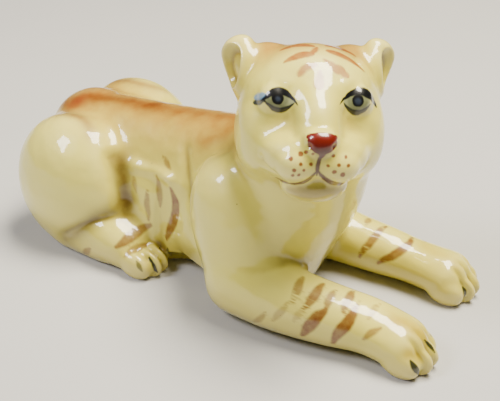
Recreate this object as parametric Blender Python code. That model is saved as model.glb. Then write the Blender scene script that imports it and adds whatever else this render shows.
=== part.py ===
# Lying lioness figurine in glazed ceramic, slip-cast in one piece.
# Metres, +Z up, +X towards the forepaws. It is modelled with its shoulders over the origin and then
# moved so that the middle of its foot is the origin.
import math

import bmesh
import bpy
import numpy as np
from mathutils import Matrix, Vector

# Trunk: tops and half widths at hips, waist and shoulders, and how far the rump and breast bulge past them.
BACK_LENGTH = 0.0405
HIP_HEIGHT = 0.0266
WAIST_HEIGHT = 0.0289
SHOULDER_HEIGHT = 0.0325
HIP_HALF_WIDTH = 0.0118
WAIST_HALF_WIDTH = 0.0106
SHOULDER_HALF_WIDTH = 0.0120
RUMP_BULGE = 0.0095
BREAST_BULGE = 0.0095
BREAST_SIDE_SHIFT = -0.0030

# The croup, which rounds the spine over between the haunches, measured back from the hips.
CROUP_BACK = 0.0008
CROUP_HEIGHT = 0.0272
CROUP_HALF_LENGTH = 0.0105
CROUP_HALF_WIDTH = 0.0090
CROUP_SLOPE = -25.0

# The belly stands out between haunch and elbow, with a soft edge along its top.
BELLY_BACK = 0.0215
BELLY_HEIGHT = 0.0209
BELLY_HALF_LENGTH = 0.0118
BELLY_HALF_WIDTH = 0.0117
BELLY_BOXINESS = 3.4

# Hollow under each side of the belly, just behind the elbow.
HOLLOW_BACK = 0.0118
HOLLOW_SPREAD = 0.0140
HOLLOW_HEIGHT = 0.0048
HOLLOW_HALF_LENGTH = 0.0085
HOLLOW_HALF_WIDTH = 0.0072

# Haunches, the folded thighs, measured from the hips.
HAUNCH_FORWARD = 0.0015
HAUNCH_SPREAD = 0.0098
HAUNCH_HEIGHT = 0.0262
HAUNCH_HALF_LENGTH = 0.0138
HAUNCH_HALF_WIDTH = 0.0098

# Hind feet, lying forward beside the belly, measured from the hips.
HIND_FOOT_SPREAD = 0.0138
HIND_FOOT_LENGTH = 0.0236
HIND_FOOT_HALF_WIDTH = 0.0048
ANKLE_HEIGHT = 0.0098
HIND_TOE_RADIUS = 0.0023

# Neck, measured from the shoulders.
NECK_BASE_HALF_WIDTH = 0.0135
NECK_BASE_HALF_DEPTH = 0.0104
THROAT_FORWARD = 0.0060
THROAT_HALF_WIDTH = 0.0126
THROAT_HALF_DEPTH = 0.0122
NECK_TOP_RADIUS = 0.0113

# Shoulders: they lean back at the top.
SHOULDER_BLADE_FORWARD = 0.0008
SHOULDER_BLADE_SPREAD = 0.0089
SHOULDER_BLADE_HEIGHT = 0.0296
SHOULDER_BLADE_HALF_DEPTH = 0.0087
SHOULDER_BLADE_LEAN = -16.0
SHOULDER_BLADE_BOXINESS = 2.3

# Forelegs, measured from the shoulders: the right one reaches further than the left.
ELBOW_FORWARD = 0.0018
ELBOW_SPREAD = 0.0124
RIGHT_PAW_SPREAD = 0.0097
LEFT_PAW_SPREAD = 0.0131
RIGHT_REACH = 0.0393
LEFT_REACH = 0.0378
RIGHT_FORELEG_RADIUS = 0.0056
LEFT_FORELEG_RADIUS = 0.0049
FOREPAW_HALF_WIDTH = 0.0055
FOREPAW_HEIGHT = 0.0084
TOE_RADIUS = 0.0024
TOES = 4

# Head: the place of the skull's middle from the shoulders, and how it turns, looks up and tilts.
HEAD_FORWARD = 0.0094
HEAD_SIDE_SHIFT = -0.0020
HEAD_HEIGHT = 0.0377
HEAD_TURN = -53.0
HEAD_PITCH = 20.7
HEAD_TILT = -3.4

# Skull, measured from its middle: the jaw lies under the cheeks.
SKULL_HALF_WIDTH = 0.0118
SKULL_HALF_LENGTH = 0.0105
CROWN_HEIGHT = 0.0114
CHEEK_HALF_WIDTH = 0.0126
CHEEK_REACH = 0.0084
CHEEK_DROP = 0.0034
CHEEK_HALF_HEIGHT = 0.0079
CHEEK_BOXINESS = 2.4
JAW_REACH = 0.0107
JAW_HALF_WIDTH = 0.0072
JAW_DROP = 0.0078
JAW_HALF_HEIGHT = 0.0060
EAR_ROOT_SPREAD = 0.0070
EAR_ROOT_HALF_WIDTH = 0.0056
EAR_ROOT_HALF_HEIGHT = 0.0059

# Muzzle, nose and eyes, measured from the skull's middle.
EYE_SPREAD = 0.0064
EYE_RADIUS = 0.0030
EYE_REACH = 0.0093
MUZZLE_HALF_WIDTH = 0.0092
MUZZLE_REACH = 0.0147
MUZZLE_DROP = 0.0063
MUZZLE_HALF_HEIGHT = 0.0047
MUZZLE_BOXINESS = 2.4
LIP_SPREAD = 0.0031
LIP_RADIUS = 0.0041
LIP_REACH = 0.0149
CHIN_DEPTH = 0.0140
CHIN_HALF_WIDTH = 0.0055
CHIN_HALF_HEIGHT = 0.0030
NOSE_REACH = 0.0159
NOSE_HALF_WIDTH = 0.0030
BRIDGE_HALF_WIDTH = 0.0039

# Ears: cups that face out to the sides.
EAR_SPREAD = 0.0152
EAR_TIP_HEIGHT = 0.0119
EAR_LENGTH = 0.0084
EAR_HALF_DEPTH = 0.0036
EAR_FOOT_HALF_WIDTH = 0.0048
EAR_TIP_HALF_WIDTH = 0.0032
EAR_HOLLOW_DEPTH = 0.0018
EAR_HOLLOW_BACK = 0.0009
EAR_HOLLOW_HALF_WIDTH = 0.0024

TAIL_RADIUS = 0.0030
TAIL_LENGTH = 0.0330

# The vent in the foot, which lets air out in the kiln.
VENT_RADIUS = 0.0020
VENT_DEPTH = 0.0030

# How finely the clay is worked.
BODY_VOXEL = 0.0008
BODY_SMOOTHING = 24
DETAIL_VOXEL = 0.0005
DETAIL_SMOOTHING = 6
TRIANGLES = 11400

# How deep and wide the clefts between the toes are cut, and how far back from a paw's end.
CLEFT_DEPTH = 0.0005
CLEFT_WIDTH = 0.0006
CLEFT_LENGTH = 0.0030

# Creases and ridges worked into the clay of the right side and mirrored on the left. Each has the distance
# at which it fades, how far out it moves the skin, and its path. These are the crease before the haunch,
# the one over the hind foot, and the edge along the top of the flank.
HIND_CREASES = (
    (0.0020, -0.0011, (
        (-0.0300, -0.0106, 0.0230),
        (-0.0276, -0.0122, 0.0185),
        (-0.0258, -0.0128, 0.0140),
        (-0.0246, -0.0130, 0.0104),
    )),
    (0.0010, -0.0006, (
        (-0.0385, -0.0186, 0.0030),
        (-0.0345, -0.0184, 0.0064),
        (-0.0300, -0.0170, 0.0092),
        (-0.0255, -0.0134, 0.0102),
    )),
    (0.0013, 0.0010, (
        (-0.0270, -0.0100, 0.0194),
        (-0.0205, -0.0106, 0.0198),
        (-0.0140, -0.0102, 0.0192),
    )),
)

# The crease behind the shoulder, the shoulder's own edge, and the crease over the elbow.
SHOULDER_CREASES = (
    (0.0012, -0.0009, (
        (-0.0146, -0.0060, 0.0265),
        (-0.0128, -0.0096, 0.0225),
        (-0.0104, -0.0116, 0.0170),
        (-0.0080, -0.0132, 0.0100),
    )),
    (0.0014, 0.0005, (
        (-0.0070, -0.0104, 0.0274),
        (-0.0040, -0.0146, 0.0240),
        (-0.0020, -0.0172, 0.0180),
    )),
    (0.0011, -0.0005, (
        (0.0030, -0.0186, 0.0130),
        (0.0085, -0.0174, 0.0122),
        (0.0110, -0.0136, 0.0118),
    )),
)

# On the head: the corner of the muzzle, the line of the mouth, and the furrow beside the nose.
FACE_CREASES = (
    (0.0009, -0.0009, (
        (0.0120, -0.0050, -0.0110),
        (0.0102, -0.0072, -0.0100),
        (0.0088, -0.0090, -0.0082),
        (0.0084, -0.0096, -0.0064),
    )),
    (0.0006, -0.0005, (
        (0.0148, -0.0004, -0.0090),
        (0.0140, -0.0024, -0.0102),
        (0.0124, -0.0046, -0.0106),
        (0.0104, -0.0068, -0.0095),
    )),
    (0.0010, -0.0003, (
        (0.0092, -0.0042, 0.0022),
        (0.0112, -0.0046, -0.0012),
        (0.0130, -0.0043, -0.0036),
    )),
)

CLAY_COLOUR = (0.80, 0.70, 0.42, 1.0)
CLAY_ROUGHNESS = 0.12
RINGS_PER_SPAN = 5
SIDES = 28
DOME_RINGS = 5


def clear_scene():
    for old in list(bpy.data.objects):
        bpy.data.objects.remove(old, do_unlink=True)


def new_object(name, shape):
    mesh = bpy.data.meshes.new(name)
    shape.to_mesh(mesh)
    shape.free()
    made = bpy.data.objects.new(name, mesh)
    bpy.context.scene.collection.objects.link(made)
    return made


def ellipsoid(name, centre, radii, tilt=0.0, boxiness=2.0):
    # A ball scaled to the three half lengths, leaning about the sideways axis by the tilt in degrees.
    # A boxiness over 2 fills its corners out.
    place = Matrix.Translation(centre) @ Matrix.Rotation(math.radians(tilt), 4, "Y")
    shape = bmesh.new()
    bmesh.ops.create_uvsphere(shape, u_segments=32, v_segments=20, radius=1.0)
    for vertex in shape.verts:
        vertex.co /= sum(abs(part) ** boxiness for part in vertex.co) ** (1 / boxiness)
    shape.transform(place @ Matrix.Diagonal((*radii, 1.0)))
    return new_object(name, shape)


def smooth_rows(stations):
    # Catmull-Rom curve through the stations, each of which is a centre, a half width and a half height.
    rows = [Vector((*centre, half_width, half_height)) for centre, half_width, half_height in stations]
    rows = [rows[0] * 2 - rows[1], *rows, rows[-1] * 2 - rows[-2]]
    found = []
    for before, start, end, after in zip(rows, rows[1:], rows[2:], rows[3:]):
        for k in range(RINGS_PER_SPAN):
            t = k / RINGS_PER_SPAN
            linear = (end - before) * t
            square = (before * 2 - start * 5 + end * 4 - after) * t**2
            cube = (start * 3 - before - end * 3 + after) * t**3
            found.append((start * 2 + linear + square + cube) * 0.5)
    found.append(rows[-2])
    return found


def section_frames(rows):
    # Each section as its centre, the three directions along, across and up, and its two half sizes.
    centres = [Vector(row[:3]) for row in rows]
    frames = []
    for i, row in enumerate(rows):
        along = (centres[min(i + 1, len(rows) - 1)] - centres[max(i - 1, 0)]).normalized()
        across = Vector((-along.y, along.x, 0.0))
        if across.length < 0.05:
            across = Vector((0.0, 1.0, 0.0))
        across.normalize()
        frames.append((centres[i], along, across, along.cross(across), row[3], row[4]))
    return frames


def dome(frame, reach):
    # Sections that close a tube's end with half an ellipsoid, from the widest one out.
    centre, along, across, up, half_width, half_height = frame
    found = []
    for k in range(1, DOME_RINGS):
        turn = k / DOME_RINGS * math.pi / 2
        shrink = math.cos(turn)
        place = centre + along * reach * math.sin(turn)
        found.append((place, along, across, up, half_width * shrink, half_height * shrink))
    return found


def loft(name, stations, start_bulge=None, end_bulge=None):
    # A closed tube of elliptical sections through the stations, domed at both ends.
    frames = section_frames(smooth_rows(stations))
    start_bulge = start_bulge or min(frames[0][4:])
    end_bulge = end_bulge or min(frames[-1][4:])
    first, last = frames[0], frames[-1]
    rings = dome(first, -start_bulge)[::-1] + frames + dome(last, end_bulge)
    shape = bmesh.new()
    loops = []
    for centre, along, across, up, half_width, half_height in rings:
        loop = []
        for side in range(SIDES):
            turn = 2 * math.pi * side / SIDES
            offset = across * half_width * math.cos(turn) + up * half_height * math.sin(turn)
            loop.append(shape.verts.new(centre + offset))
        loops.append(loop)
    start = shape.verts.new(first[0] - first[1] * start_bulge)
    end = shape.verts.new(last[0] + last[1] * end_bulge)
    for side in range(SIDES):
        beside = (side + 1) % SIDES
        for one, two in zip(loops, loops[1:]):
            shape.faces.new((one[side], one[beside], two[beside], two[side]))
        shape.faces.new((loops[0][beside], loops[0][side], start))
        shape.faces.new((loops[-1][side], loops[-1][beside], end))
    bmesh.ops.recalc_face_normals(shape, faces=shape.faces)
    return new_object(name, shape)


def modifier(thing, kind, **settings):
    made = thing.modifiers.new(kind.lower(), kind)
    for name, value in settings.items():
        setattr(made, name, value)
    return made


def apply_modifiers(thing):
    bpy.context.view_layer.update()
    graph = bpy.context.evaluated_depsgraph_get()
    mesh = bpy.data.meshes.new_from_object(thing.evaluated_get(graph))
    thing.modifiers.clear()
    thing.data = mesh


def fuse(name, pieces, voxel, smoothing):
    # One skin over all the pieces, with the creases between them rounded.
    shape = bmesh.new()
    for piece in pieces:
        shape.from_mesh(piece.data)
        bpy.data.objects.remove(piece, do_unlink=True)
    made = new_object(name, shape)
    modifier(made, "REMESH", mode="VOXEL", voxel_size=voxel)
    modifier(made, "SMOOTH", factor=0.5, iterations=smoothing)
    apply_modifiers(made)
    return made


def cut(thing, cutter):
    modifier(thing, "BOOLEAN", operation="DIFFERENCE", object=cutter, solver="EXACT")
    apply_modifiers(thing)
    bpy.data.objects.remove(cutter, do_unlink=True)


def trunk():
    # The sections stand on the floor: each is centred low, so that the flanks drop steeply to it.
    def station(x, y, top, half_width):
        middle = top * 0.3
        return ((x, y, middle), half_width, top - middle)

    return loft("trunk", [
        station(-BACK_LENGTH, 0.0, HIP_HEIGHT, HIP_HALF_WIDTH),
        station(-BACK_LENGTH * 0.5, BREAST_SIDE_SHIFT * 0.2, WAIST_HEIGHT, WAIST_HALF_WIDTH),
        station(0.0, BREAST_SIDE_SHIFT, SHOULDER_HEIGHT, SHOULDER_HALF_WIDTH),
    ], start_bulge=RUMP_BULGE, end_bulge=BREAST_BULGE)


def croup():
    half = CROUP_HEIGHT * 0.4
    place = (-BACK_LENGTH - CROUP_BACK, 0.0, CROUP_HEIGHT - half)
    return ellipsoid("croup", place, (CROUP_HALF_LENGTH, CROUP_HALF_WIDTH, half), CROUP_SLOPE)


def belly():
    half = BELLY_HEIGHT * 0.54
    place = (-BELLY_BACK, 0.0, BELLY_HEIGHT - half)
    return ellipsoid("belly", place, (BELLY_HALF_LENGTH, BELLY_HALF_WIDTH, half), 0.0, BELLY_BOXINESS)


def haunch(side):
    middle = HAUNCH_HEIGHT * 0.44
    place = (HAUNCH_FORWARD - BACK_LENGTH, side * HAUNCH_SPREAD, middle)
    return ellipsoid("haunch", place, (HAUNCH_HALF_LENGTH, HAUNCH_HALF_WIDTH, HAUNCH_HEIGHT - middle))


def toes(name, end, half_width, radius, count):
    # Rounded toes side by side across a paw, the outer ones set back.
    found = []
    for k in range(count):
        across = (k + 0.5) / count * 2 - 1
        place = end + Vector((-radius * 1.2 * across**2, across * (half_width - radius * 0.35), radius))
        found.append(ellipsoid(name, place, (radius * 1.6, radius * 0.8, radius * 1.2), 14))
    return found


def hind_foot(side):
    half = HIND_FOOT_HALF_WIDTH
    rise = ANKLE_HEIGHT * 0.58
    y = side * HIND_FOOT_SPREAD
    toe_x = HIND_FOOT_LENGTH - BACK_LENGTH
    return loft("hind_foot", [
        ((HAUNCH_FORWARD - BACK_LENGTH, y, rise * 0.55), half * 0.85, rise * 0.75),
        ((toe_x - HIND_FOOT_LENGTH * 0.56, y, ANKLE_HEIGHT - rise), half, rise),
        ((toe_x - HIND_FOOT_LENGTH * 0.36, y, ANKLE_HEIGHT * 0.4), half, rise * 0.86),
        ((toe_x - half * 1.35, y, half * 0.55), half * 0.96, half * 0.8),
    ])


def hind_toes(side):
    end = Vector((HIND_FOOT_LENGTH - BACK_LENGTH - HIND_TOE_RADIUS, side * HIND_FOOT_SPREAD, 0.0))
    return toes("hind_toe", end, HIND_FOOT_HALF_WIDTH, HIND_TOE_RADIUS, TOES)


def foreleg_y(side, spread):
    return BREAST_SIDE_SHIFT + side * spread


def forepaw_y(side):
    spread = RIGHT_PAW_SPREAD if side < 0 else LEFT_PAW_SPREAD
    return foreleg_y(side, spread)


def foreleg(side, reach):
    r = RIGHT_FORELEG_RADIUS if side < 0 else LEFT_FORELEG_RADIUS
    paw = FOREPAW_HEIGHT / 2
    paw_y = forepaw_y(side)
    elbow_y = foreleg_y(side, ELBOW_SPREAD)
    return loft("foreleg", [
        ((ELBOW_FORWARD, elbow_y, r * 1.4), r * 1.1, r * 1.45),
        ((ELBOW_FORWARD + r * 1.6, elbow_y, r * 1.1), r * 1.06, r * 1.15),
        ((reach * 0.52, (elbow_y + paw_y) / 2, r * 0.95), r, r * 0.98),
        ((reach - FOREPAW_HALF_WIDTH * 2.4, paw_y, r * 0.85), r * 0.98, r * 0.85),
        ((reach - FOREPAW_HALF_WIDTH * 1.1, paw_y, paw * 0.9), FOREPAW_HALF_WIDTH, paw),
    ])


def foretoes(side, reach):
    end = Vector((reach - TOE_RADIUS * 1.6, forepaw_y(side), 0.0))
    return toes("toe", end, FOREPAW_HALF_WIDTH, TOE_RADIUS, TOES)


def shoulder(side):
    half = SHOULDER_BLADE_HEIGHT / 2
    deep = SHOULDER_BLADE_HALF_DEPTH
    place = (SHOULDER_BLADE_FORWARD, foreleg_y(side, SHOULDER_BLADE_SPREAD), half)
    radii = (deep, deep * 0.97, half)
    return ellipsoid("shoulder", place, radii, SHOULDER_BLADE_LEAN, SHOULDER_BLADE_BOXINESS)


def head_frame():
    place = Matrix.Translation((HEAD_FORWARD, BREAST_SIDE_SHIFT + HEAD_SIDE_SHIFT, HEAD_HEIGHT))
    turn = Matrix.Rotation(math.radians(HEAD_TURN), 4, "Z")
    pitch = Matrix.Rotation(-math.radians(HEAD_PITCH), 4, "Y")
    tilt = Matrix.Rotation(math.radians(HEAD_TILT), 4, "X")
    return place @ turn @ pitch @ tilt


def neck():
    # It rises from the breast and ends inside the skull, below and behind the skull's middle.
    nape = head_frame() @ Vector((-SKULL_HALF_LENGTH * 0.21, SKULL_HALF_WIDTH * 0.04, -CROWN_HEIGHT * 0.47))
    return loft("neck", [
        ((ELBOW_FORWARD, BREAST_SIDE_SHIFT, HIP_HEIGHT * 0.34), NECK_BASE_HALF_WIDTH, NECK_BASE_HALF_DEPTH),
        ((THROAT_FORWARD, BREAST_SIDE_SHIFT, SHOULDER_HEIGHT * 0.68), THROAT_HALF_WIDTH, THROAT_HALF_DEPTH),
        (tuple(nape), NECK_TOP_RADIUS, NECK_TOP_RADIUS),
    ])


def skull():
    half = CROWN_HEIGHT * 0.9
    cheek = CHEEK_HALF_WIDTH * 0.48
    jaw_half = CHEEK_REACH * 0.97
    muzzle_half = MUZZLE_REACH * 0.6
    width = BRIDGE_HALF_WIDTH
    jaw_place = (JAW_REACH - jaw_half, 0.0, -JAW_DROP)
    muzzle_place = (MUZZLE_REACH - muzzle_half, 0.0, -MUZZLE_DROP)
    muzzle_radii = (muzzle_half, MUZZLE_HALF_WIDTH, MUZZLE_HALF_HEIGHT)
    pieces = [
        ellipsoid("skull", (0.0, 0.0, CROWN_HEIGHT - half), (SKULL_HALF_LENGTH, SKULL_HALF_WIDTH, half)),
        ellipsoid("jaw", jaw_place, (jaw_half, JAW_HALF_WIDTH, JAW_HALF_HEIGHT)),
        ellipsoid("muzzle", muzzle_place, muzzle_radii, 0.0, MUZZLE_BOXINESS),
        loft("bridge", [
            ((SKULL_HALF_LENGTH * 0.24, 0.0, CROWN_HEIGHT * 0.46), width * 1.35, width * 1.13),
            ((SKULL_HALF_LENGTH * 0.82, 0.0, CROWN_HEIGHT * 0.08), width * 1.05, width),
            ((NOSE_REACH * 0.72, 0.0, -MUZZLE_DROP * 0.51), width * 0.92, width * 0.85),
        ]),
    ]
    for side in (-1, 1):
        reach = CHEEK_REACH * 0.93
        pieces.append(ellipsoid(
            "cheek", (CHEEK_REACH - reach, side * (CHEEK_HALF_WIDTH - cheek), -CHEEK_DROP),
            (reach, cheek, CHEEK_HALF_HEIGHT), 0.0, CHEEK_BOXINESS
        ))
        pieces.append(ellipsoid(
            "ear_root", (-SKULL_HALF_LENGTH * 0.27, side * EAR_ROOT_SPREAD, CROWN_HEIGHT * 0.49),
            (SKULL_HALF_LENGTH * 0.46, EAR_ROOT_HALF_WIDTH, EAR_ROOT_HALF_HEIGHT)
        ))
    return pieces


def ear(side):
    foot = EAR_TIP_HEIGHT - EAR_LENGTH
    tip = EAR_TIP_HEIGHT - EAR_HALF_DEPTH * 0.6
    middle = (EAR_FOOT_HALF_WIDTH + EAR_TIP_HALF_WIDTH) * 0.48
    back = -SKULL_HALF_LENGTH
    y_foot = side * (EAR_SPREAD * 0.83 - EAR_FOOT_HALF_WIDTH)
    y_middle = side * (EAR_SPREAD * 0.95 - middle)
    y_tip = side * (EAR_SPREAD - EAR_TIP_HALF_WIDTH)
    return loft("ear", [
        ((back * 0.13, y_foot, foot), EAR_HALF_DEPTH, EAR_FOOT_HALF_WIDTH),
        ((back * 0.19, y_middle, foot + EAR_LENGTH * 0.42), EAR_HALF_DEPTH * 0.9, middle),
        ((back * 0.27, y_tip, tip), EAR_HALF_DEPTH * 0.64, EAR_TIP_HALF_WIDTH),
    ])


def ear_hollow(side):
    # The cutter stands beside the ear and reaches in from the outside.
    half = EAR_HOLLOW_DEPTH * 2
    y = side * (EAR_SPREAD * 0.92 + half - EAR_HOLLOW_DEPTH)
    place = (-EAR_HOLLOW_BACK, y, EAR_TIP_HEIGHT - EAR_LENGTH * 0.56)
    return ellipsoid("ear_hollow", place, (EAR_HOLLOW_HALF_WIDTH, half, EAR_LENGTH * 0.4))


def face():
    lip = LIP_REACH - LIP_RADIUS
    nose = NOSE_HALF_WIDTH * 1.2
    nose_place = (NOSE_REACH - nose, 0.0, -MUZZLE_DROP * 0.59)
    chin_place = (JAW_REACH * 0.74, 0.0, CHIN_HALF_HEIGHT - CHIN_DEPTH)
    pieces = [
        ellipsoid("nose", nose_place, (nose, NOSE_HALF_WIDTH, nose * 0.69), 0.0, 2.5),
        ellipsoid("chin", chin_place, (CHIN_HALF_HEIGHT * 1.5, CHIN_HALF_WIDTH, CHIN_HALF_HEIGHT)),
    ]
    for side in (-1, 1):
        place = (lip, side * LIP_SPREAD, -MUZZLE_DROP * 1.16)
        pieces.append(ellipsoid("lip", place, (LIP_RADIUS, LIP_RADIUS * 0.95, LIP_RADIUS * 0.83)))
        place = (EYE_REACH - EYE_RADIUS, side * EYE_SPREAD, EYE_RADIUS * 0.73)
        pieces.append(ellipsoid("eye", place, (EYE_RADIUS,) * 3))
        pieces.append(ear(side))
    return pieces


def on_head(pieces):
    for piece in pieces:
        piece.data.transform(head_frame())
    return pieces


def tail():
    # From the end of the spine down behind the left haunch and forward along the floor.
    r = TAIL_RADIUS
    back = -BACK_LENGTH - RUMP_BULGE
    beside = HAUNCH_SPREAD + HAUNCH_HALF_WIDTH + r * 0.4
    hip = HAUNCH_FORWARD - BACK_LENGTH
    return loft("tail", [
        ((back + r * 1.3, 0.0, HIP_HEIGHT - r * 2.2), r, r),
        ((back + r * 0.3, beside * 0.45, HIP_HEIGHT * 0.45), r, r),
        ((back + r * 1.6, beside * 0.85, r * 1.1), r, r),
        ((hip, beside, r * 0.9), r, r),
        ((hip + TAIL_LENGTH * 0.45, beside - r * 0.6, r * 0.9), r * 0.95, r * 0.95),
    ])


def distances(points, path):
    # From each point to the nearest point of the path, and how far along the path that is, from 0 to 1.
    lengths = np.linalg.norm(np.diff(path, axis=0), axis=1)
    nearest = np.full(len(points), np.inf)
    share = np.zeros(len(points))
    for start, end, length, before in zip(path, path[1:], lengths, np.cumsum(lengths) - lengths):
        t = np.clip((points - start) @ (end - start) / length**2, 0.0, 1.0)
        away = np.linalg.norm(points - start - t[:, None] * (end - start), axis=1)
        share = np.where(away < nearest, (before + t * length) / lengths.sum(), share)
        nearest = np.minimum(nearest, away)
    return nearest, share


def smooth_step(low, high, value):
    t = np.clip((value - low) / (high - low), 0.0, 1.0)
    return t * t * (3.0 - 2.0 * t)


def crease(points, normals, path, width, out):
    # The skin moves along its normals beside the path, less towards the path's ends.
    away, share = distances(points, path)
    ends = smooth_step(0.0, 0.2, share) * smooth_step(0.0, 0.2, 1.0 - share)
    amount = out * np.exp(-((away / width) ** 2)) * (0.25 + 0.75 * ends)
    return normals * amount[:, None]


def clefts(points, end_x, y, half_width, radius):
    # How deep the skin is cut between the toes of one paw.
    depth = np.zeros(len(points))
    for k in range(1, TOES):
        across = k / TOES * 2 - 1
        line = y + across * (half_width - radius * 0.35)
        depth = np.maximum(depth, np.exp(-(((points[:, 1] - line) / CLEFT_WIDTH) ** 2)))
    depth *= smooth_step(end_x - CLEFT_LENGTH, end_x - CLEFT_LENGTH * 0.4, points[:, 0])
    depth *= (np.abs(points[:, 1] - y) < half_width * 1.1) & (points[:, 0] < end_x + radius * 3)
    return CLEFT_DEPTH * depth * smooth_step(radius * 0.1, radius * 0.5, points[:, 2])


def all_creases(side):
    # The creases of one side with their paths set in place.
    flip = np.array((1.0, -side, 1.0))
    shift = np.array((0.0, BREAST_SIDE_SHIFT * (1 + side), 0.0))
    head = np.array(head_frame())
    hind = [(width, out, np.array(path) * flip) for width, out, path in HIND_CREASES]
    fore = [(width, out, np.array(path) * flip + shift) for width, out, path in SHOULDER_CREASES]
    face = [
        (width, out, np.array(path) * flip @ head[:3, :3].T + head[:3, 3])
        for width, out, path in FACE_CREASES
    ]
    return hind + fore + face


def sculpt(thing):
    # Creases and ridges on both sides, on the face, and the clefts between the toes.
    count = len(thing.data.vertices)
    points, normals = np.empty(count * 3), np.empty(count * 3)
    thing.data.vertices.foreach_get("co", points)
    thing.data.vertices.foreach_get("normal", normals)
    points, normals = points.reshape(-1, 3), normals.reshape(-1, 3)
    moved = points.copy()
    for side in (-1, 1):
        for width, out, path in all_creases(side):
            moved += crease(points, normals, path, width, out)
        reach = RIGHT_REACH if side < 0 else LEFT_REACH
        cut_in = clefts(points, reach - TOE_RADIUS, forepaw_y(side), FOREPAW_HALF_WIDTH, TOE_RADIUS)
        end_x = HIND_FOOT_LENGTH - BACK_LENGTH
        cut_in += clefts(points, end_x, side * HIND_FOOT_SPREAD, HIND_FOOT_HALF_WIDTH, HIND_TOE_RADIUS)
        moved -= normals * cut_in[:, None]
    thing.data.vertices.foreach_set("co", moved.ravel())
    thing.data.update()


def floor_cutter():
    shape = bmesh.new()
    size = BACK_LENGTH * 8
    bmesh.ops.create_cube(shape, size=size, matrix=Matrix.Translation((0.0, 0.0, -size / 2)))
    return new_object("floor_cutter", shape)


def under_belly(side):
    # Cutter that lifts the edge of the belly off the ground between the hind toes and the elbow.
    place = (-HOLLOW_BACK, BREAST_SIDE_SHIFT * (1 + side) / 2 + side * HOLLOW_SPREAD, 0.0)
    return ellipsoid("under_belly", place, (HOLLOW_HALF_LENGTH, HOLLOW_HALF_WIDTH, HOLLOW_HEIGHT))


def vent_cutter():
    shape = bmesh.new()
    place = Matrix.Translation((-BACK_LENGTH / 2, BREAST_SIDE_SHIFT * 0.2, 0.0))
    bmesh.ops.create_cone(
        shape, cap_ends=True, segments=24, radius1=VENT_RADIUS, radius2=VENT_RADIUS,
        depth=VENT_DEPTH * 2, matrix=place
    )
    return new_object("vent_cutter", shape)


def ceramic():
    made = bpy.data.materials.new("glazed_ceramic")
    made.use_nodes = True
    shader = made.node_tree.nodes["Principled BSDF"]
    shader.inputs["Base Color"].default_value = CLAY_COLOUR
    shader.inputs["Roughness"].default_value = CLAY_ROUGHNESS
    shader.inputs["Metallic"].default_value = 0.0
    return made


def centre(thing):
    # Moves the mesh so that the bottom middle of its box is the origin, and returns the move.
    corners = [Vector(corner) for corner in thing.bound_box]
    low = Vector([min(corner[k] for corner in corners) for k in range(3)])
    high = Vector([max(corner[k] for corner in corners) for k in range(3)])
    move = Vector((-(low.x + high.x) / 2, -(low.y + high.y) / 2, -low.z))
    thing.data.transform(Matrix.Translation(move))
    return move


def model():
    reaches = {-1: RIGHT_REACH, 1: LEFT_REACH}
    masses = [trunk(), croup(), belly(), neck(), tail(), *on_head(skull())]
    details = on_head(face())
    for side, reach in reaches.items():
        masses += [haunch(side), hind_foot(side), shoulder(side), foreleg(side, reach)]
        details += [*hind_toes(side), *foretoes(side, reach)]
    body = fuse("body", masses, BODY_VOXEL, BODY_SMOOTHING)
    cut(body, floor_cutter())
    for side in reaches:
        cut(body, under_belly(side))
    figurine = fuse("figurine", [body, *details], DETAIL_VOXEL, DETAIL_SMOOTHING)
    for hollow in on_head([ear_hollow(-1), ear_hollow(1)]):
        cut(figurine, hollow)
    modifier(figurine, "REMESH", mode="VOXEL", voxel_size=DETAIL_VOXEL)
    modifier(figurine, "SMOOTH", factor=0.5, iterations=DETAIL_SMOOTHING)
    apply_modifiers(figurine)
    sculpt(figurine)
    found = len(figurine.data.polygons) * 2
    modifier(figurine, "DECIMATE", ratio=min(1.0, TRIANGLES / found))
    apply_modifiers(figurine)
    cut(figurine, floor_cutter())
    cut(figurine, vent_cutter())
    figurine.data.materials.clear()
    figurine.data.materials.append(ceramic())
    figurine.data.shade_smooth()
    return figurine


clear_scene()
figurine = model()
move = centre(figurine)
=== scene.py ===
import math

import bpy
import numpy as np
from mathutils import Matrix, Vector


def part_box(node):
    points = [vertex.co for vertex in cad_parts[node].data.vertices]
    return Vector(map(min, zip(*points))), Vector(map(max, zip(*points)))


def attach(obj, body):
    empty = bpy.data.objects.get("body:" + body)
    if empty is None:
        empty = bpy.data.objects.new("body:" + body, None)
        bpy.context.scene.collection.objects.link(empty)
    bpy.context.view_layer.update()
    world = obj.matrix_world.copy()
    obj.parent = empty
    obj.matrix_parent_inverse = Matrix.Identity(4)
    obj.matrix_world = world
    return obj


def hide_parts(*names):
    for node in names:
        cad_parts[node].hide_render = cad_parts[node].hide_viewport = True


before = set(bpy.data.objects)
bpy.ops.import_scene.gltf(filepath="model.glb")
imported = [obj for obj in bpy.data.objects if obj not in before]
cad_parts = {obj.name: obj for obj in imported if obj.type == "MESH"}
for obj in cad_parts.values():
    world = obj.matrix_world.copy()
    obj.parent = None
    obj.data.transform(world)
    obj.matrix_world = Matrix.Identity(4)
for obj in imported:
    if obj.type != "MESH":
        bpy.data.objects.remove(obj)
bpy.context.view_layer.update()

# A small lying big cat in slip-cast china, brushed with colour under a thick clear glaze.
# Shapes are worked out in millimetres with the shoulders over the origin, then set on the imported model.

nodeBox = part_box("figurine")
mm = 0.001


# Surfaces

def gridFaces(rings, sides):
    # Quads between neighbouring rings, closed round each ring.
    ring, side = np.meshgrid(np.arange(rings - 1), np.arange(sides), indexing="ij")
    beside = (side + 1) % sides
    this, after = ring * sides, (ring + 1) * sides
    return np.stack([this + side, this + beside, after + beside, after + side], axis=-1).reshape(-1, 4)


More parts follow.
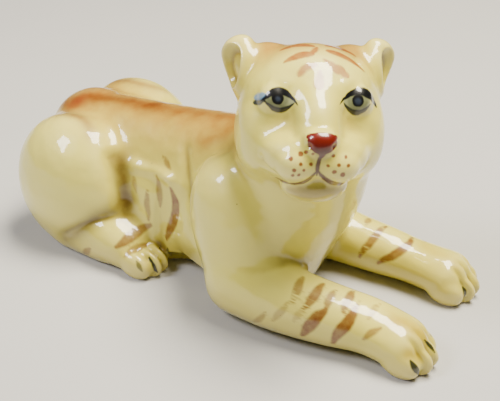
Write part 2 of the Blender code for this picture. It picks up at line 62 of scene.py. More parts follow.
def ball(centre, halfSizes, tilt=0.0, boxiness=2.0, rings=28, sides=40):
    # (x, y, z) = centre + turn * (a cos v cos u, b cos v sin u, c sin v), u round and v from pole to pole,
    # each point moved out to where |x / a|^n + |y / b|^n + |z / c|^n = 1 with n the boxiness.
    poles, circle = np.linspace(-np.pi / 2, np.pi / 2, rings), np.arange(sides) / sides * 2 * np.pi
    v, u = np.meshgrid(poles, circle, indexing="ij")
    unit = np.stack([np.cos(v) * np.cos(u), np.cos(v) * np.sin(u), np.sin(v)], axis=-1).reshape(-1, 3)
    unit /= (np.abs(unit) ** boxiness).sum(axis=1, keepdims=True) ** (1 / boxiness)
    lean = math.radians(tilt)
    turn = np.array([[math.cos(lean), 0, math.sin(lean)], [0, 1, 0], [-math.sin(lean), 0, math.cos(lean)]])
    return unit * np.array(halfSizes) @ turn.T + np.array(centre), gridFaces(rings, sides)


def smoothRows(stations, steps=6):
    # Catmull-Rom curve: 0.5 (2b + (c - a) t + (2a - 5b + 4c - d) t^2 + (3b - a - 3c + d) t^3).
    rows = np.array([[*centre, width, height] for centre, width, height in stations], float)
    rows = np.vstack([2 * rows[0] - rows[1], rows, 2 * rows[-1] - rows[-2]])
    a, b, c, d = rows[:-3, None], rows[1:-2, None], rows[2:-1, None], rows[3:, None]
    t = (np.arange(steps) / steps)[None, :, None]
    curve = 0.5 * (2 * b + (c - a) * t + (2 * a - 5 * b + 4 * c - d) * t**2 + (3 * b - a - 3 * c + d) * t**3)
    return np.vstack([curve.reshape(-1, 5), rows[-2]])


def tube(stations, startBulge=None, endBulge=None, sides=40, domeRings=8):
    # centre(s) + across(s) w(s) cos u + up(s) h(s) sin u, and half an ellipsoid at each end.
    rows = smoothRows(stations)
    startBulge = startBulge or rows[0, 3:].min()
    endBulge = endBulge or rows[-1, 3:].min()
    along = np.gradient(rows[:, :3], axis=0)
    along /= np.linalg.norm(along, axis=1, keepdims=True)
    across = np.stack([-along[:, 1], along[:, 0], np.zeros(len(along))], axis=1)
    flat = np.linalg.norm(across, axis=1, keepdims=True)
    across = np.where(flat < 0.05, np.array([0.0, 1.0, 0.0]), across / np.maximum(flat, 1e-9))
    up = np.cross(along, across)
    turn = np.linspace(0, np.pi / 2, domeRings + 1)[1:]
    reach = np.concatenate([-startBulge * np.sin(turn[::-1]), np.zeros(len(rows)), endBulge * np.sin(turn)])
    shrink = np.concatenate([np.cos(turn[::-1]), np.ones(len(rows)), np.cos(turn)])
    pick = np.concatenate([np.zeros(domeRings, int), np.arange(len(rows)), np.full(domeRings, len(rows) - 1)])
    u = np.arange(sides) / sides * 2 * np.pi
    middle = rows[pick, :3] + along[pick] * reach[:, None]
    width = (rows[pick, 3] * shrink)[:, None, None]
    height = (rows[pick, 4] * shrink)[:, None, None]
    beside = across[pick][:, None] * width * np.cos(u)[None, :, None]
    above = up[pick][:, None] * height * np.sin(u)[None, :, None]
    return (middle[:, None] + (beside + above)).reshape(-1, 3), gridFaces(len(pick), sides)


def joined(surfaces):
    # The points and faces of many surfaces as those of one.
    starts = np.cumsum([0] + [len(points) for points, _ in surfaces[:-1]])
    points = np.vstack([points for points, _ in surfaces])
    faces = np.vstack([faces + start for (_, faces), start in zip(surfaces, starts)])
    return points, faces


# Meshes

def newPiece(name, points, faces):
    mesh = bpy.data.meshes.new(name)
    mesh.from_pydata(points, [], faces)
    mesh.update()
    piece = bpy.data.objects.new(name, mesh)
    bpy.context.scene.collection.objects.link(piece)
    return piece


def settled(piece, modifiers):
    # The piece with these modifiers applied.
    for kind, settings in modifiers:
        made = piece.modifiers.new(kind.lower(), kind)
        for key, value in settings.items():
            setattr(made, key, value)
    bpy.context.view_layer.update()
    graph = bpy.context.evaluated_depsgraph_get()
    mesh = bpy.data.meshes.new_from_object(piece.evaluated_get(graph))
    piece.modifiers.clear()
    piece.data = mesh
    return piece


def pointsOf(piece):
    points = np.empty(len(piece.data.vertices) * 3)
    piece.data.vertices.foreach_get("co", points)
    return points.reshape(-1, 3)


def setPoints(piece, points):
    piece.data.vertices.foreach_set("co", points.ravel())
    piece.data.update()


def normalsOf(piece):
    normals = np.empty(len(piece.data.vertices) * 3, np.float32)
    piece.data.vertex_normals.foreach_get("vector", normals)
    return normals.reshape(-1, 3).astype(float)


def neighbourMean(piece, values, rounds):
    # Each point's value becomes the mean of its own and the mean of its neighbours', over and over.
    edges = np.empty(len(piece.data.edges) * 2, np.int32)
    piece.data.edges.foreach_get("vertices", edges)
    a, b = edges.reshape(-1, 2).T
    count = np.bincount(a, minlength=len(values)) + np.bincount(b, minlength=len(values))
    values = np.array(values, float).reshape(len(count), -1)
    for _ in range(rounds):
        sums = [np.bincount(a, x[b], len(count)) + np.bincount(b, x[a], len(count)) for x in values.T]
        summed = np.stack(sums, axis=1)
        values = 0.5 * values + 0.5 * summed / count[:, None]
    return values


def smoothStep(low, high, x):
    t = np.clip((x - low) / (high - low), 0, 1)
    return t * t * (3 - 2 * t)


def hump(x, width):
    # exp(-(x / width)^2)
    return np.exp(-(x / width) ** 2)


# The body's masses, in millimetres

trunkSizes = {
    "backLength": 40.5, "hipHeight": 26.6, "waistHeight": 28.9, "shoulderHeight": 32.5,
    "hipHalfWidth": 11.8, "waistHalfWidth": 10.6, "shoulderHalfWidth": 12.0,
    "rumpBulge": 9.5, "breastBulge": 9.5, "breastSideShift": -3.0,
}
croupSizes = {"back": 0.8, "height": 27.2, "halfLength": 10.5, "halfWidth": 9.0, "slope": -25}
bellySizes = {"back": 21.5, "height": 20.9, "halfLength": 11.8, "halfWidth": 11.7, "boxiness": 3.4}
hollowSizes = {"back": 11.8, "spread": 14.0, "height": 4.8, "halfLength": 8.5, "halfWidth": 7.2}
haunchSizes = {"forward": 1.5, "spread": 9.8, "height": 26.2, "halfLength": 13.8, "halfWidth": 9.8}
hindFootSizes = {"spread": 13.8, "length": 23.6, "halfWidth": 4.8, "ankleHeight": 9.8, "toeRadius": 2.3}
neckSizes = {
    "baseHalfWidth": 13.5, "baseHalfDepth": 10.4, "throatForward": 6.0, "throatHalfWidth": 12.6,
    "throatHalfDepth": 12.2, "topRadius": 11.3,
}
shoulderSizes = {
    "forward": 0.8, "spread": 8.9, "height": 29.6, "halfDepth": 8.7, "lean": -16, "boxiness": 2.3,
}
forelegSizes = {
    "elbowForward": 1.8, "elbowSpread": 12.4, "pawHalfWidth": 5.5, "pawHeight": 8.4,
    "toeRadius": 2.4, "toes": 4,
    "pawSpread": {-1: 9.7, 1: 13.1}, "reach": {-1: 39.3, 1: 37.8}, "radius": {-1: 5.6, 1: 4.9},
}
tailSizes = {"radius": 3.0, "length": 33.0}
headPlace = {"forward": 9.4, "sideShift": -2.0, "height": 37.7, "turn": -53.0, "pitch": 20.7, "tilt": -3.4}
skullSizes = {
    "halfWidth": 11.8, "halfLength": 10.5, "crownHeight": 11.4,
    "cheekHalfWidth": 12.6, "cheekReach": 8.4, "cheekDrop": 3.4, "cheekHalfHeight": 7.9, "cheekBoxiness": 2.4,
    "jawReach": 10.7, "jawHalfWidth": 7.2, "jawDrop": 7.8, "jawHalfHeight": 6.0,
    "earRootSpread": 7.0, "earRootHalfWidth": 5.6, "earRootHalfHeight": 5.9,
}
faceSizes = {
    "eyeSpread": 6.4, "eyeRadius": 3.0, "eyeReach": 9.3,
    "muzzleHalfWidth": 9.2, "muzzleReach": 14.7, "muzzleDrop": 6.3, "muzzleHalfHeight": 4.7,
    "muzzleBoxiness": 2.4, "lipSpread": 3.1, "lipRadius": 4.1, "lipReach": 14.9,
    "chinDepth": 14.0, "chinHalfWidth": 5.5, "chinHalfHeight": 3.0,
    "noseReach": 15.9, "noseHalfWidth": 3.0, "bridgeHalfWidth": 3.9,
}
earSizes = {
    "spread": 15.2, "tipHeight": 11.9, "length": 8.4, "halfDepth": 3.6,
    "footHalfWidth": 4.8, "tipHalfWidth": 3.2, "hollowDepth": 1.8,
}
clayWork = {
    "bodyVoxel": 0.6, "bodySmoothing": 44, "detailVoxel": 0.3, "detailSmoothing": 20, "triangles": 190000,
}


def trunk():
    s = trunkSizes

    def station(x, y, top, halfWidth):
        return (x, y, top * 0.3), halfWidth, top * 0.7

    return tube([
        station(-s["backLength"], 0.0, s["hipHeight"], s["hipHalfWidth"]),
        station(-s["backLength"] * 0.5, s["breastSideShift"] * 0.2, s["waistHeight"], s["waistHalfWidth"]),
        station(0.0, s["breastSideShift"], s["shoulderHeight"], s["shoulderHalfWidth"]),
    ], s["rumpBulge"], s["breastBulge"])


def croup():
    s = croupSizes
    half = s["height"] * 0.4
    place = (-trunkSizes["backLength"] - s["back"], 0.0, s["height"] - half)
    return ball(place, (s["halfLength"], s["halfWidth"], half), s["slope"])


def belly():
    s = bellySizes
    half = s["height"] * 0.54
    place = (-s["back"], 0.0, s["height"] - half)
    return ball(place, (s["halfLength"], s["halfWidth"], half), 0, s["boxiness"])


def underBelly(side):
    # Cuts away the edge of the belly between the hind toes and the elbow.
    s = hollowSizes
    y = trunkSizes["breastSideShift"] * (1 + side) / 2 + side * s["spread"]
    return ball((-s["back"], y, 0.0), (s["halfLength"], s["halfWidth"], s["height"]))


def hipX():
    return haunchSizes["forward"] - trunkSizes["backLength"]


def haunch(side):
    s = haunchSizes
    middle = s["height"] * 0.44
    return ball((hipX(), side * s["spread"], middle), (s["halfLength"], s["halfWidth"], s["height"] - middle))


def hindFoot(side):
    s = hindFootSizes
    half, y, rise = s["halfWidth"], side * s["spread"], s["ankleHeight"] * 0.58
    toeX = s["length"] - trunkSizes["backLength"]
    return tube([
        ((hipX(), y, rise * 0.55), half * 0.85, rise * 0.75),
        ((toeX - s["length"] * 0.56, y, s["ankleHeight"] - rise), half, rise),
        ((toeX - s["length"] * 0.36, y, s["ankleHeight"] * 0.4), half, rise * 0.86),
        ((toeX - half * 1.35, y, half * 0.55), half * 0.96, half * 0.8),
    ])


def toes(endX, y, halfWidth, radius, count):
    # Rounded toes side by side, the outer ones set back by a share of their distance across, squared.
    found = []
    for across in (np.arange(count) + 0.5) / count * 2 - 1:
        place = (endX - radius * 1.2 * across**2, y + across * (halfWidth - radius * 0.35), radius)
        found.append(ball(place, (radius * 1.6, radius * 0.8, radius * 1.2), 14))
    return found


def hindToes(side):
    s = hindFootSizes
    endX = s["length"] - trunkSizes["backLength"] - s["toeRadius"]
    return toes(endX, side * s["spread"], s["halfWidth"], s["toeRadius"], forelegSizes["toes"])


def legY(side, spread):
    return trunkSizes["breastSideShift"] + side * spread


def pawY(side):
    return legY(side, forelegSizes["pawSpread"][side])


def foreleg(side):
    s = forelegSizes
    r, reach, paw, x = s["radius"][side], s["reach"][side], s["pawHeight"] / 2, s["elbowForward"]
    elbowY = legY(side, s["elbowSpread"])
    return tube([
        ((x, elbowY, r * 1.4), r * 1.1, r * 1.45),
        ((x + r * 1.6, elbowY, r * 1.1), r * 1.06, r * 1.15),
        ((reach * 0.52, (elbowY + pawY(side)) / 2, r * 0.95), r, r * 0.98),
        ((reach - s["pawHalfWidth"] * 2.4, pawY(side), r * 0.85), r * 0.98, r * 0.85),
        ((reach - s["pawHalfWidth"] * 1.1, pawY(side), paw * 0.9), s["pawHalfWidth"], paw),
    ])


def foreToes(side):
    s = forelegSizes
    endX = s["reach"][side] - s["toeRadius"] * 1.6
    return toes(endX, pawY(side), s["pawHalfWidth"], s["toeRadius"], s["toes"])


def shoulder(side):
    s = shoulderSizes
    half = s["height"] / 2
    place = (s["forward"], legY(side, s["spread"]), half)
    return ball(place, (s["halfDepth"], s["halfDepth"] * 0.97, half), s["lean"], s["boxiness"])


def headMatrix():
    s = headPlace
    place = Matrix.Translation((s["forward"], trunkSizes["breastSideShift"] + s["sideShift"], s["height"]))
    turn = Matrix.Rotation(math.radians(s["turn"]), 4, "Z")
    pitch = Matrix.Rotation(-math.radians(s["pitch"]), 4, "Y")
    return place @ turn @ pitch @ Matrix.Rotation(math.radians(s["tilt"]), 4, "X")


def onHead(surface):
    points, faces = surface
    matrix = np.array(headMatrix())
    return points @ matrix[:3, :3].T + matrix[:3, 3], faces


def inHead(points):
    # Forward, left and up from the middle of the skull.
    matrix = np.array(headMatrix())
    return (points - matrix[:3, 3]) @ matrix[:3, :3]


def neck():
    # From the breast up into the back of the skull.
    s, k, t = neckSizes, skullSizes, trunkSizes
    x, y = forelegSizes["elbowForward"], t["breastSideShift"]
    nape = headMatrix() @ Vector((-0.21 * k["halfLength"], 0.04 * k["halfWidth"], -0.47 * k["crownHeight"]))
    return tube([
        ((x, y, t["hipHeight"] * 0.34), s["baseHalfWidth"], s["baseHalfDepth"]),
        ((s["throatForward"], y, t["shoulderHeight"] * 0.68), s["throatHalfWidth"], s["throatHalfDepth"]),
        (tuple(nape), s["topRadius"], s["topRadius"]),
    ])


def skull():
    k, f = skullSizes, faceSizes
    half, cheek, deep = k["crownHeight"] * 0.9, k["cheekHalfWidth"] * 0.48, k["cheekReach"] * 0.93
    jaw, long, width = k["cheekReach"] * 0.97, f["muzzleReach"] * 0.6, f["bridgeHalfWidth"]
    muzzle = (long, f["muzzleHalfWidth"], f["muzzleHalfHeight"])
    pieces = [
        ball((0.0, 0.0, k["crownHeight"] - half), (k["halfLength"], k["halfWidth"], half)),
        ball((k["jawReach"] - jaw, 0.0, -k["jawDrop"]), (jaw, k["jawHalfWidth"], k["jawHalfHeight"])),
        ball((f["muzzleReach"] - long, 0.0, -f["muzzleDrop"]), muzzle, 0, f["muzzleBoxiness"]),
        tube([
            ((k["halfLength"] * 0.24, 0.0, k["crownHeight"] * 0.46), width * 1.35, width * 1.13),
            ((k["halfLength"] * 0.82, 0.0, k["crownHeight"] * 0.08), width * 1.05, width),
            ((f["noseReach"] * 0.72, 0.0, -f["muzzleDrop"] * 0.51), width * 0.92, width * 0.85),
        ]),
    ]
    for side in (-1, 1):
        place = (k["cheekReach"] - deep, side * (k["cheekHalfWidth"] - cheek), -k["cheekDrop"])
        pieces.append(ball(place, (deep, cheek, k["cheekHalfHeight"]), 0, k["cheekBoxiness"]))
        place = (-k["halfLength"] * 0.27, side * k["earRootSpread"], k["crownHeight"] * 0.49)
        pieces.append(ball(place, (k["halfLength"] * 0.46, k["earRootHalfWidth"], k["earRootHalfHeight"])))
    return [onHead(piece) for piece in pieces]


def ear(side):
    e = earSizes
    out, deep, low, high = e["spread"], e["halfDepth"], e["footHalfWidth"], e["tipHalfWidth"]
    foot, tip = e["tipHeight"] - e["length"], e["tipHeight"] - deep * 0.6
    middle, back = (low + high) * 0.48, -skullSizes["halfLength"]
    return tube([
        ((back * 0.13, side * (out * 0.83 - low), foot), deep, low),
        ((back * 0.19, side * (out * 0.95 - middle), foot + e["length"] * 0.42), deep * 0.9, middle),
        ((back * 0.27, side * (out - high), tip), deep * 0.64, high),
    ])


def face():
    f = faceSizes
    nose, high, drop = f["noseHalfWidth"] * 1.2, f["chinHalfHeight"], f["muzzleDrop"]
    lip, eye = f["lipRadius"], f["eyeRadius"]
    chin = (skullSizes["jawReach"] * 0.74, 0.0, high - f["chinDepth"])
    pieces = [
        ball((f["noseReach"] - nose, 0.0, -drop * 0.59), (nose, f["noseHalfWidth"], nose * 0.69), 0, 2.5),
        ball(chin, (high * 1.5, f["chinHalfWidth"], high)),
    ]
    for side in (-1, 1):
        place = (f["lipReach"] - lip, side * f["lipSpread"], -drop * 1.16)
        pieces.append(ball(place, (lip, lip * 0.95, lip * 0.83)))
        pieces.append(ball((f["eyeReach"] - eye, side * f["eyeSpread"], eye * 0.73), (eye, eye, eye)))
        pieces.append(ear(side))
    return [onHead(piece) for piece in pieces]


def tail():
    # From the end of the spine down behind the left haunch and forward along the floor.
    r, h, t = tailSizes["radius"], haunchSizes, trunkSizes
    back, beside = -t["backLength"] - t["rumpBulge"], h["spread"] + h["halfWidth"] + r * 0.4
    return tube([
        ((back + r * 1.3, 0.0, t["hipHeight"] - r * 2.2), r, r),
        ((back + r * 0.3, beside * 0.45, t["hipHeight"] * 0.45), r, r),
        ((back + r * 1.6, beside * 0.85, r * 1.1), r, r),
        ((hipX(), beside, r * 0.9), r, r),
        ((hipX() + tailSizes["length"] * 0.45, beside - r * 0.6, r * 0.9), r * 0.95, r * 0.95),
    ])


def castFigure():
    # Masses fused under one skin with rounded creases, then the details fused on at a finer size.
    masses, details = [trunk(), croup(), belly(), neck(), tail(), *skull()], face()
    for side in (-1, 1):
        masses += [haunch(side), hindFoot(side), shoulder(side), foreleg(side)]
        details += [*hindToes(side), *foreToes(side)]
    body = settled(newPiece("clayBody", *joined(masses)), [
        ("REMESH", {"mode": "VOXEL", "voxel_size": clayWork["bodyVoxel"]}),
        ("SMOOTH", {"factor": 0.5, "iterations": clayWork["bodySmoothing"]}),
    ])
    points = pointsOf(body)
    points[:, 2] = np.maximum(points[:, 2], 0)
    setPoints(body, points)
    cutter = newPiece("cutter", *joined([underBelly(-1), underBelly(1)]))
    settled(body, [("BOOLEAN", {"operation": "DIFFERENCE", "object": cutter, "solver": "EXACT"})])
    bpy.data.objects.remove(cutter)
    points = pointsOf(body)
    faces = [tuple(polygon.vertices) for polygon in body.data.polygons]
    print("body skin", len(points), "points")
    extra, extraFaces = joined(details)
    allFaces = faces + [tuple(face) for face in extraFaces + len(points)]
    bpy.data.objects.remove(body)
    return settled(newPiece("clayFigure", np.vstack([points, extra]), allFaces), [
        ("REMESH", {"mode": "VOXEL", "voxel_size": clayWork["detailVoxel"]}),
        ("SMOOTH", {"factor": 0.5, "iterations": clayWork["detailSmoothing"]}),
    ])


def bothSides(name, path, width, depth):
    # A crease on the right and the same one on the left.
    mirrored = np.array(path) * (1, -1, 1)
    return {"right " + name: (path, width, depth), "left " + name: (mirrored, width, depth)}


# Creases and ridges worked into the clay: the path in millimetres, how wide and how far in or out

bodyCarving = {
    "before the haunch": (
        [(-30, -10.6, 23), (-27.6, -12.2, 18.5), (-25.8, -12.8, 14), (-24.6, -13, 10.4)], 2.0, -1.1,
    ),
    "over the hind foot": (
        [(-38.5, -18.6, 3), (-34.5, -18.4, 6.4), (-30, -17.0, 9.2), (-25.5, -13.4, 10.2)], 0.9, -0.6,
    ),
    "flank's edge": ([(-27, -10.0, 19.4), (-20.5, -10.6, 19.8), (-14.0, -10.2, 19.2)], 1.3, 1.0),
    "behind the shoulder": (
        [(-14.6, -6.0, 26.5), (-12.8, -9.6, 22.5), (-10.4, -11.6, 17), (-8.0, -13.2, 10)], 1.2, -0.9,
    ),
    "shoulder's edge": ([(-7.0, -10.4, 27.4), (-4.0, -14.6, 24.0), (-2.0, -17.2, 18)], 1.4, 0.5),
    "over the elbow": ([(3, -18.6, 13.0), (8.5, -17.4, 12.2), (11, -13.6, 11.8)], 1.1, -0.5),
}
headCarving = {
    "mouth's middle": ([(16.2, -0.1, -5.6), (15.2, -0.3, -7.4), (14.8, -0.3, -9.2)], 0.42, -0.5),
    "right lip": (
        [(14.8, -0.4, -9.0), (14.0, -2.4, -10.2), (12.4, -4.6, -10.6), (10.4, -6.8, -9.5), (8.4, -8.4, -7.5)],
        0.5, -0.5,
    ),
    "left lip": (
        [(14.8, 0.0, -9.0), (14.0, 2.2, -10.0), (12.4, 4.6, -10.3), (10.4, 6.8, -9.2), (8.6, 8.2, -7.6)],
        0.5, -0.5,
    ),
    **bothSides("nostril", [(15.2, -1.6, -4.5), (14.8, -2.4, -4.0)], 0.45, -0.5),
    "right muzzle corner": (
        [(12.0, -5.0, -11.0), (10.2, -7.2, -10.0), (8.8, -9.0, -8.2), (8.4, -9.6, -6.4)], 0.9, -0.9,
    ),
    "left muzzle corner": (
        [(12.0, 5.0, -10.8), (10.2, 7.2, -9.8), (8.8, 8.8, -8.2), (8.4, 9.4, -6.6)], 0.9, -0.7,
    ),
    "beside the nose, right": ([(9.6, -4.2, 2.0), (11.6, -4.4, -1.2), (13.2, -4.0, -3.6)], 0.9, -0.25),
    "beside the nose, left": ([(9.6, 4.2, 2.0), (11.6, 4.4, -1.2), (13.2, 4.0, -3.6)], 0.9, -0.3),
    **bothSides("under the eye", [(8.8, -8.6, 0.6), (9.6, -6.2, -0.6), (9.8, -4.4, 0.2)], 0.7, -0.15),
    **bothSides("brow", [(7.0, -8.6, 5.2), (8.8, -6.2, 5.9), (9.8, -3.8, 5.0)], 1.2, 0.35),
}
toeCleft = {"depth": 0.5, "width": 0.5, "length": 3.0}
earHollow = {
    "forward": -0.9, "out": 14.2, "up": 7.0, "faces": (0.3, 0.95, 0.0), "halfHeight": 3.9, "halfWidth": 2.5,
    "reach": 3.5,
}
ventHole = {"centre": (-20.25, -0.6), "radius": 2.0, "depth": 3.0}


def smoothPath(path):
    return smoothRows([(spot, 0, 0) for spot in path], 4)[:, :3] if len(path) > 2 else np.array(path, float)


def alongPath(points, path):
    # Distance to the nearest point of the smooth curve through these points, and how far along it that is.
    path = smoothPath(path)
    steps = np.linalg.norm(np.diff(path, axis=0), axis=1)
    nearest, share = np.full(len(points), 1e9), np.zeros(len(points))
    for a, b, step, before in zip(path[:-1], path[1:], steps, np.cumsum(steps) - steps):
        t = np.clip((points - a) @ (b - a) / step**2, 0, 1)
        distance = np.linalg.norm(points - a - t[:, None] * (b - a), axis=1)
        share = np.where(distance < nearest, (before + t * step) / steps.sum(), share)
        nearest = np.minimum(nearest, distance)
    return nearest, share


def carved(points, normals, carving):
    # Each point goes out along its normal by depth * exp(-(distance / width)^2), less towards a path's ends.
    moved = points.copy()
    for path, width, depth in carving.values():
        distance, share = alongPath(points, path)
        ends = smoothStep(0, 0.2, share) * smoothStep(0, 0.2, 1 - share)
        moved += normals * (depth * hump(distance, width) * (0.25 + 0.75 * ends))[:, None]
    return moved


def cleftAmount(points, endX, y, halfWidth, radius):
    # Three lines between four toes, deepest at the front.
    count = forelegSizes["toes"]
    amount = np.zeros(len(points))
    for across in np.arange(1, count) / count * 2 - 1:
        line = hump(points[:, 1] - y - across * (halfWidth - radius * 0.35), toeCleft["width"])
        amount = np.maximum(amount, line)
    reach = smoothStep(endX - toeCleft["length"], endX - toeCleft["length"] * 0.4, points[:, 0])
    near = smoothStep(halfWidth + 1.0, halfWidth, np.abs(points[:, 1] - y)) * (points[:, 0] < endX + 6)
    return toeCleft["depth"] * amount * reach * near * smoothStep(0.1, 1.2, points[:, 2])


def sculpt(figure):
    points, normals = pointsOf(figure), normalsOf(figure)
    mirror = np.array([1, -1, 1])
    moved = carved(points, normals, bodyCarving)
    left = {}
    for name, (path, width, depth) in bodyCarving.items():
        left[name] = np.array(path) * mirror, width, depth
    for name in ("behind the shoulder", "shoulder's edge", "over the elbow"):
        left[name] = (left[name][0] + np.array([0, 2 * trunkSizes["breastSideShift"], 0]), *left[name][1:])
    moved += carved(points, normals, left) - points
    matrix, head = np.array(headMatrix()), {}
    for name, (path, width, depth) in headCarving.items():
        head[name] = np.array(path) @ matrix[:3, :3].T + matrix[:3, 3], width, depth
    moved += carved(points, normals, head) - points
    clefts, s, h = np.zeros(len(points)), forelegSizes, hindFootSizes
    for side in (-1, 1):
        endX = s["reach"][side] - s["toeRadius"]
        clefts += cleftAmount(points, endX, pawY(side), s["pawHalfWidth"], s["toeRadius"])
        endX = h["length"] - trunkSizes["backLength"]
        clefts += cleftAmount(points, endX, side * h["spread"], h["halfWidth"], h["toeRadius"])
    moved -= normals * clefts[:, None]
    # Ear hollows: a dent of depth (1 - a^2 - b^2) inside an ellipse on the ear's outer face.
    inner, turned, e = inHead(points), normals @ matrix[:3, :3], earHollow
    for side in (-1, 1):
        faces = np.array(e["faces"]) * (1, side, 1)
        beside = np.cross(faces, (0, 0, 1))
        away = inner - np.array([e["forward"], side * e["out"], e["up"]])
        a, b = away[:, 2] / e["halfHeight"], away @ beside / e["halfWidth"]
        inside = np.clip(1 - a**2 - b**2, 0, 1) * smoothStep(0.0, 0.45, turned @ faces)
        inside = inside * (np.abs(away @ faces) < e["reach"])
        push = -earSizes["hollowDepth"] * smoothStep(0, 0.75, inside)[:, None] * faces
        moved += push @ matrix[:3, :3].T
    # The vent hole goes up into the underside.
    (x, y), radius = ventHole["centre"], ventHole["radius"]
    hole = smoothStep(radius, radius * 0.8, np.hypot(points[:, 0] - x, points[:, 1] - y))
    moved[:, 2] += np.where(points[:, 2] < 1.0, ventHole["depth"] * hole, 0)
    setPoints(figure, moved)


figure = castFigure()
print("figure skin", len(figure.data.vertices), "points")
sculpt(figure)
print("sculpted")
figure = settled(figure, [("DECIMATE", {"ratio": clayWork["triangles"] / 2 / len(figure.data.polygons)})])
points = pointsOf(figure)
points[:, 2] = np.maximum(points[:, 2], 0)
low, high = points.min(axis=0), points.max(axis=0)
boxLow, boxHigh = np.array(nodeBox[0]), np.array(nodeBox[1])
place = (boxLow + boxHigh) / 2 - (low + high) / 2 * mm
place[2] = boxLow[2] - low[2] * mm
setPoints(figure, points * mm + place)
figure.name = "glazedFigure"
figure.data.shade_smooth()
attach(figure, "root")
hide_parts("figurine")
triangles = sum(len(polygon.vertices) - 2 for polygon in figure.data.polygons)
print("place", place, "size", high - low, "triangles", triangles)


def acrossBody(strokes):
    # The same strokes on the left side.
    return [(np.array(path) * (1, -1, 1), width, strength) for path, width, strength in strokes]


# Colour brushed and sprayed on, in millimetres: path, half width or spread, strength

brushwork = {
    "right foreleg": [
        ([(8.4, -20.6, 3.2), (10.1, -21.1, 5.2), (11.0, -21.1, 6.6)], 0.45, 0.6),
        ([(12.4, -21.0, 5.4), (13.8, -20.5, 7.8), (14.6, -19.7, 9.2)], 0.52, 0.5),
        ([(15.0, -19.4, 9.5), (15.1, -18.0, 10.8), (14.6, -15.0, 11.7)], 0.62, 0.75),
        ([(17.2, -19.3, 8.9), (17.8, -18.3, 9.8), (18.1, -16.7, 10.7), (18.0, -13.8, 11.1)], 0.68, 0.9),
        ([(15.9, -20.4, 6.4), (16.6, -20.0, 7.7), (17.2, -19.3, 8.9)], 0.5, 0.4),
        ([(20.4, -18.2, 9.0), (20.5, -16.8, 10.1), (20.5, -14.2, 10.7)], 0.55, 0.8),
        ([(17.3, -19.9, 3.6), (19.4, -19.5, 7.3), (20.2, -18.6, 8.7), (20.7, -17.6, 9.4)], 0.85, 1.0),
        ([(23.3, -16.8, 9.2), (23.2, -14.8, 10.0), (22.7, -11.7, 9.9)], 0.62, 0.85),
        ([(22.6, -18.8, 3.5), (24.0, -18.5, 6.4), (24.8, -17.4, 7.9), (24.9, -14.6, 9.6)], 0.8, 1.0),
        ([(28.0, -17.7, 5.9), (28.8, -16.9, 7.0), (29.7, -15.8, 7.8)], 0.46, 0.75),
        ([(27.4, -15.6, 8.5), (27.6, -13.6, 9.1), (27.6, -11.6, 9.0)], 0.42, 0.5),
        ([(24.9, -13.7, 9.8), (25.1, -13.1, 9.7)], 0.36, 0.4),
    ],
    "left foreleg": [
        ([(15.5, 4.7, 5.2), (17.1, 5.6, 7.6), (17.9, 7.8, 9.2), (18.0, 10.6, 9.5)], 0.62, 0.9),
        (
            [(19.4, 5.0, 4.7), (21.5, 5.7, 6.4), (23.1, 6.9, 7.5), (23.8, 9.1, 8.3), (23.4, 11.4, 8.4)],
            0.66, 0.95,
        ),
        ([(14.7, 10.8, 9.9), (15.1, 8.7, 9.9)], 0.5, 0.7),
        ([(17.5, 14.8, 3.9), (19.4, 14.6, 6.8), (20.6, 13.2, 8.6)], 0.75, 0.95),
        ([(23.4, 15.2, 3.6), (24.8, 14.6, 6.4), (25.8, 12.6, 8.2)], 0.7, 0.9),
        ([(29.0, 14.8, 5.4), (30.2, 13.2, 7.2)], 0.45, 0.7),
    ],
    "right flank": [
        ([(-24.6, -10.5, 17.6), (-24.2, -10.9, 16.2), (-23.8, -11.2, 14.6)], 0.45, 0.5),
        ([(-21.1, -11.2, 15.8), (-20.8, -11.6, 12.8), (-20.9, -11.7, 9.8)], 0.55, 0.7),
        ([(-19.1, -10.6, 19.1), (-18.5, -10.9, 16.6), (-18.0, -11.1, 13.4)], 0.55, 0.7),
        (
            [(-15.6, -11.0, 18.0), (-14.7, -11.1, 15.5), (-14.5, -11.4, 12.5), (-16.1, -11.2, 9.1),
             (-17.2, -11.1, 6.4)], 0.85, 1.0,
        ),
        ([(-18.8, -8.7, 22.5), (-17.6, -9.2, 21.8), (-16.4, -10.0, 21.1)], 0.45, 0.65),
    ],
    "right hind foot": [
        ([(-24.2, -17.7, 5.7), (-22.7, -15.5, 7.1), (-22.0, -12.5, 7.8), (-20.2, -11.7, 8.7)], 0.85, 0.85),
        ([(-22.0, -17.9, 4.4), (-21.0, -15.4, 5.2), (-20.2, -13.0, 5.3)], 0.6, 0.7),
        ([(-30.0, -18.4, 3.5), (-31.4, -18.2, 2.2), (-32.8, -17.6, 1.1)], 0.55, 0.75),
    ],
}
inkwork = {
    "right forepaw": [
        ([(36.3, -12.3, 5.5), (37.3, -11.9, 4.5), (38.3, -11.9, 3.4)], 0.27, 1.0),
        ([(36.1, -16.8, 4.3), (37.0, -16.9, 3.2), (37.6, -16.2, 1.6)], 0.46, 1.0),
        ([(36.1, -9.3, 4.6), (36.5, -9.0, 4.0)], 0.25, 0.6),
    ],
    "left forepaw": [
        ([(35.3, 7.8, 3.6), (35.9, 7.7, 1.6)], 0.5, 1.0),
        ([(36.2, 11.8, 4.4), (37.0, 12.0, 2.6)], 0.34, 1.0),
    ],
    "right hind toes": [
        ([(-19.5, -17.7, 4.3), (-18.0, -17.8, 2.5)], 0.34, 0.75),
        ([(-18.2, -15.3, 4.0), (-16.5, -15.3, 1.3)], 0.44, 1.0),
        ([(-16.7, -11.2, 4.4), (-16.9, -10.4, 2.6)], 0.4, 0.8),
    ],
}
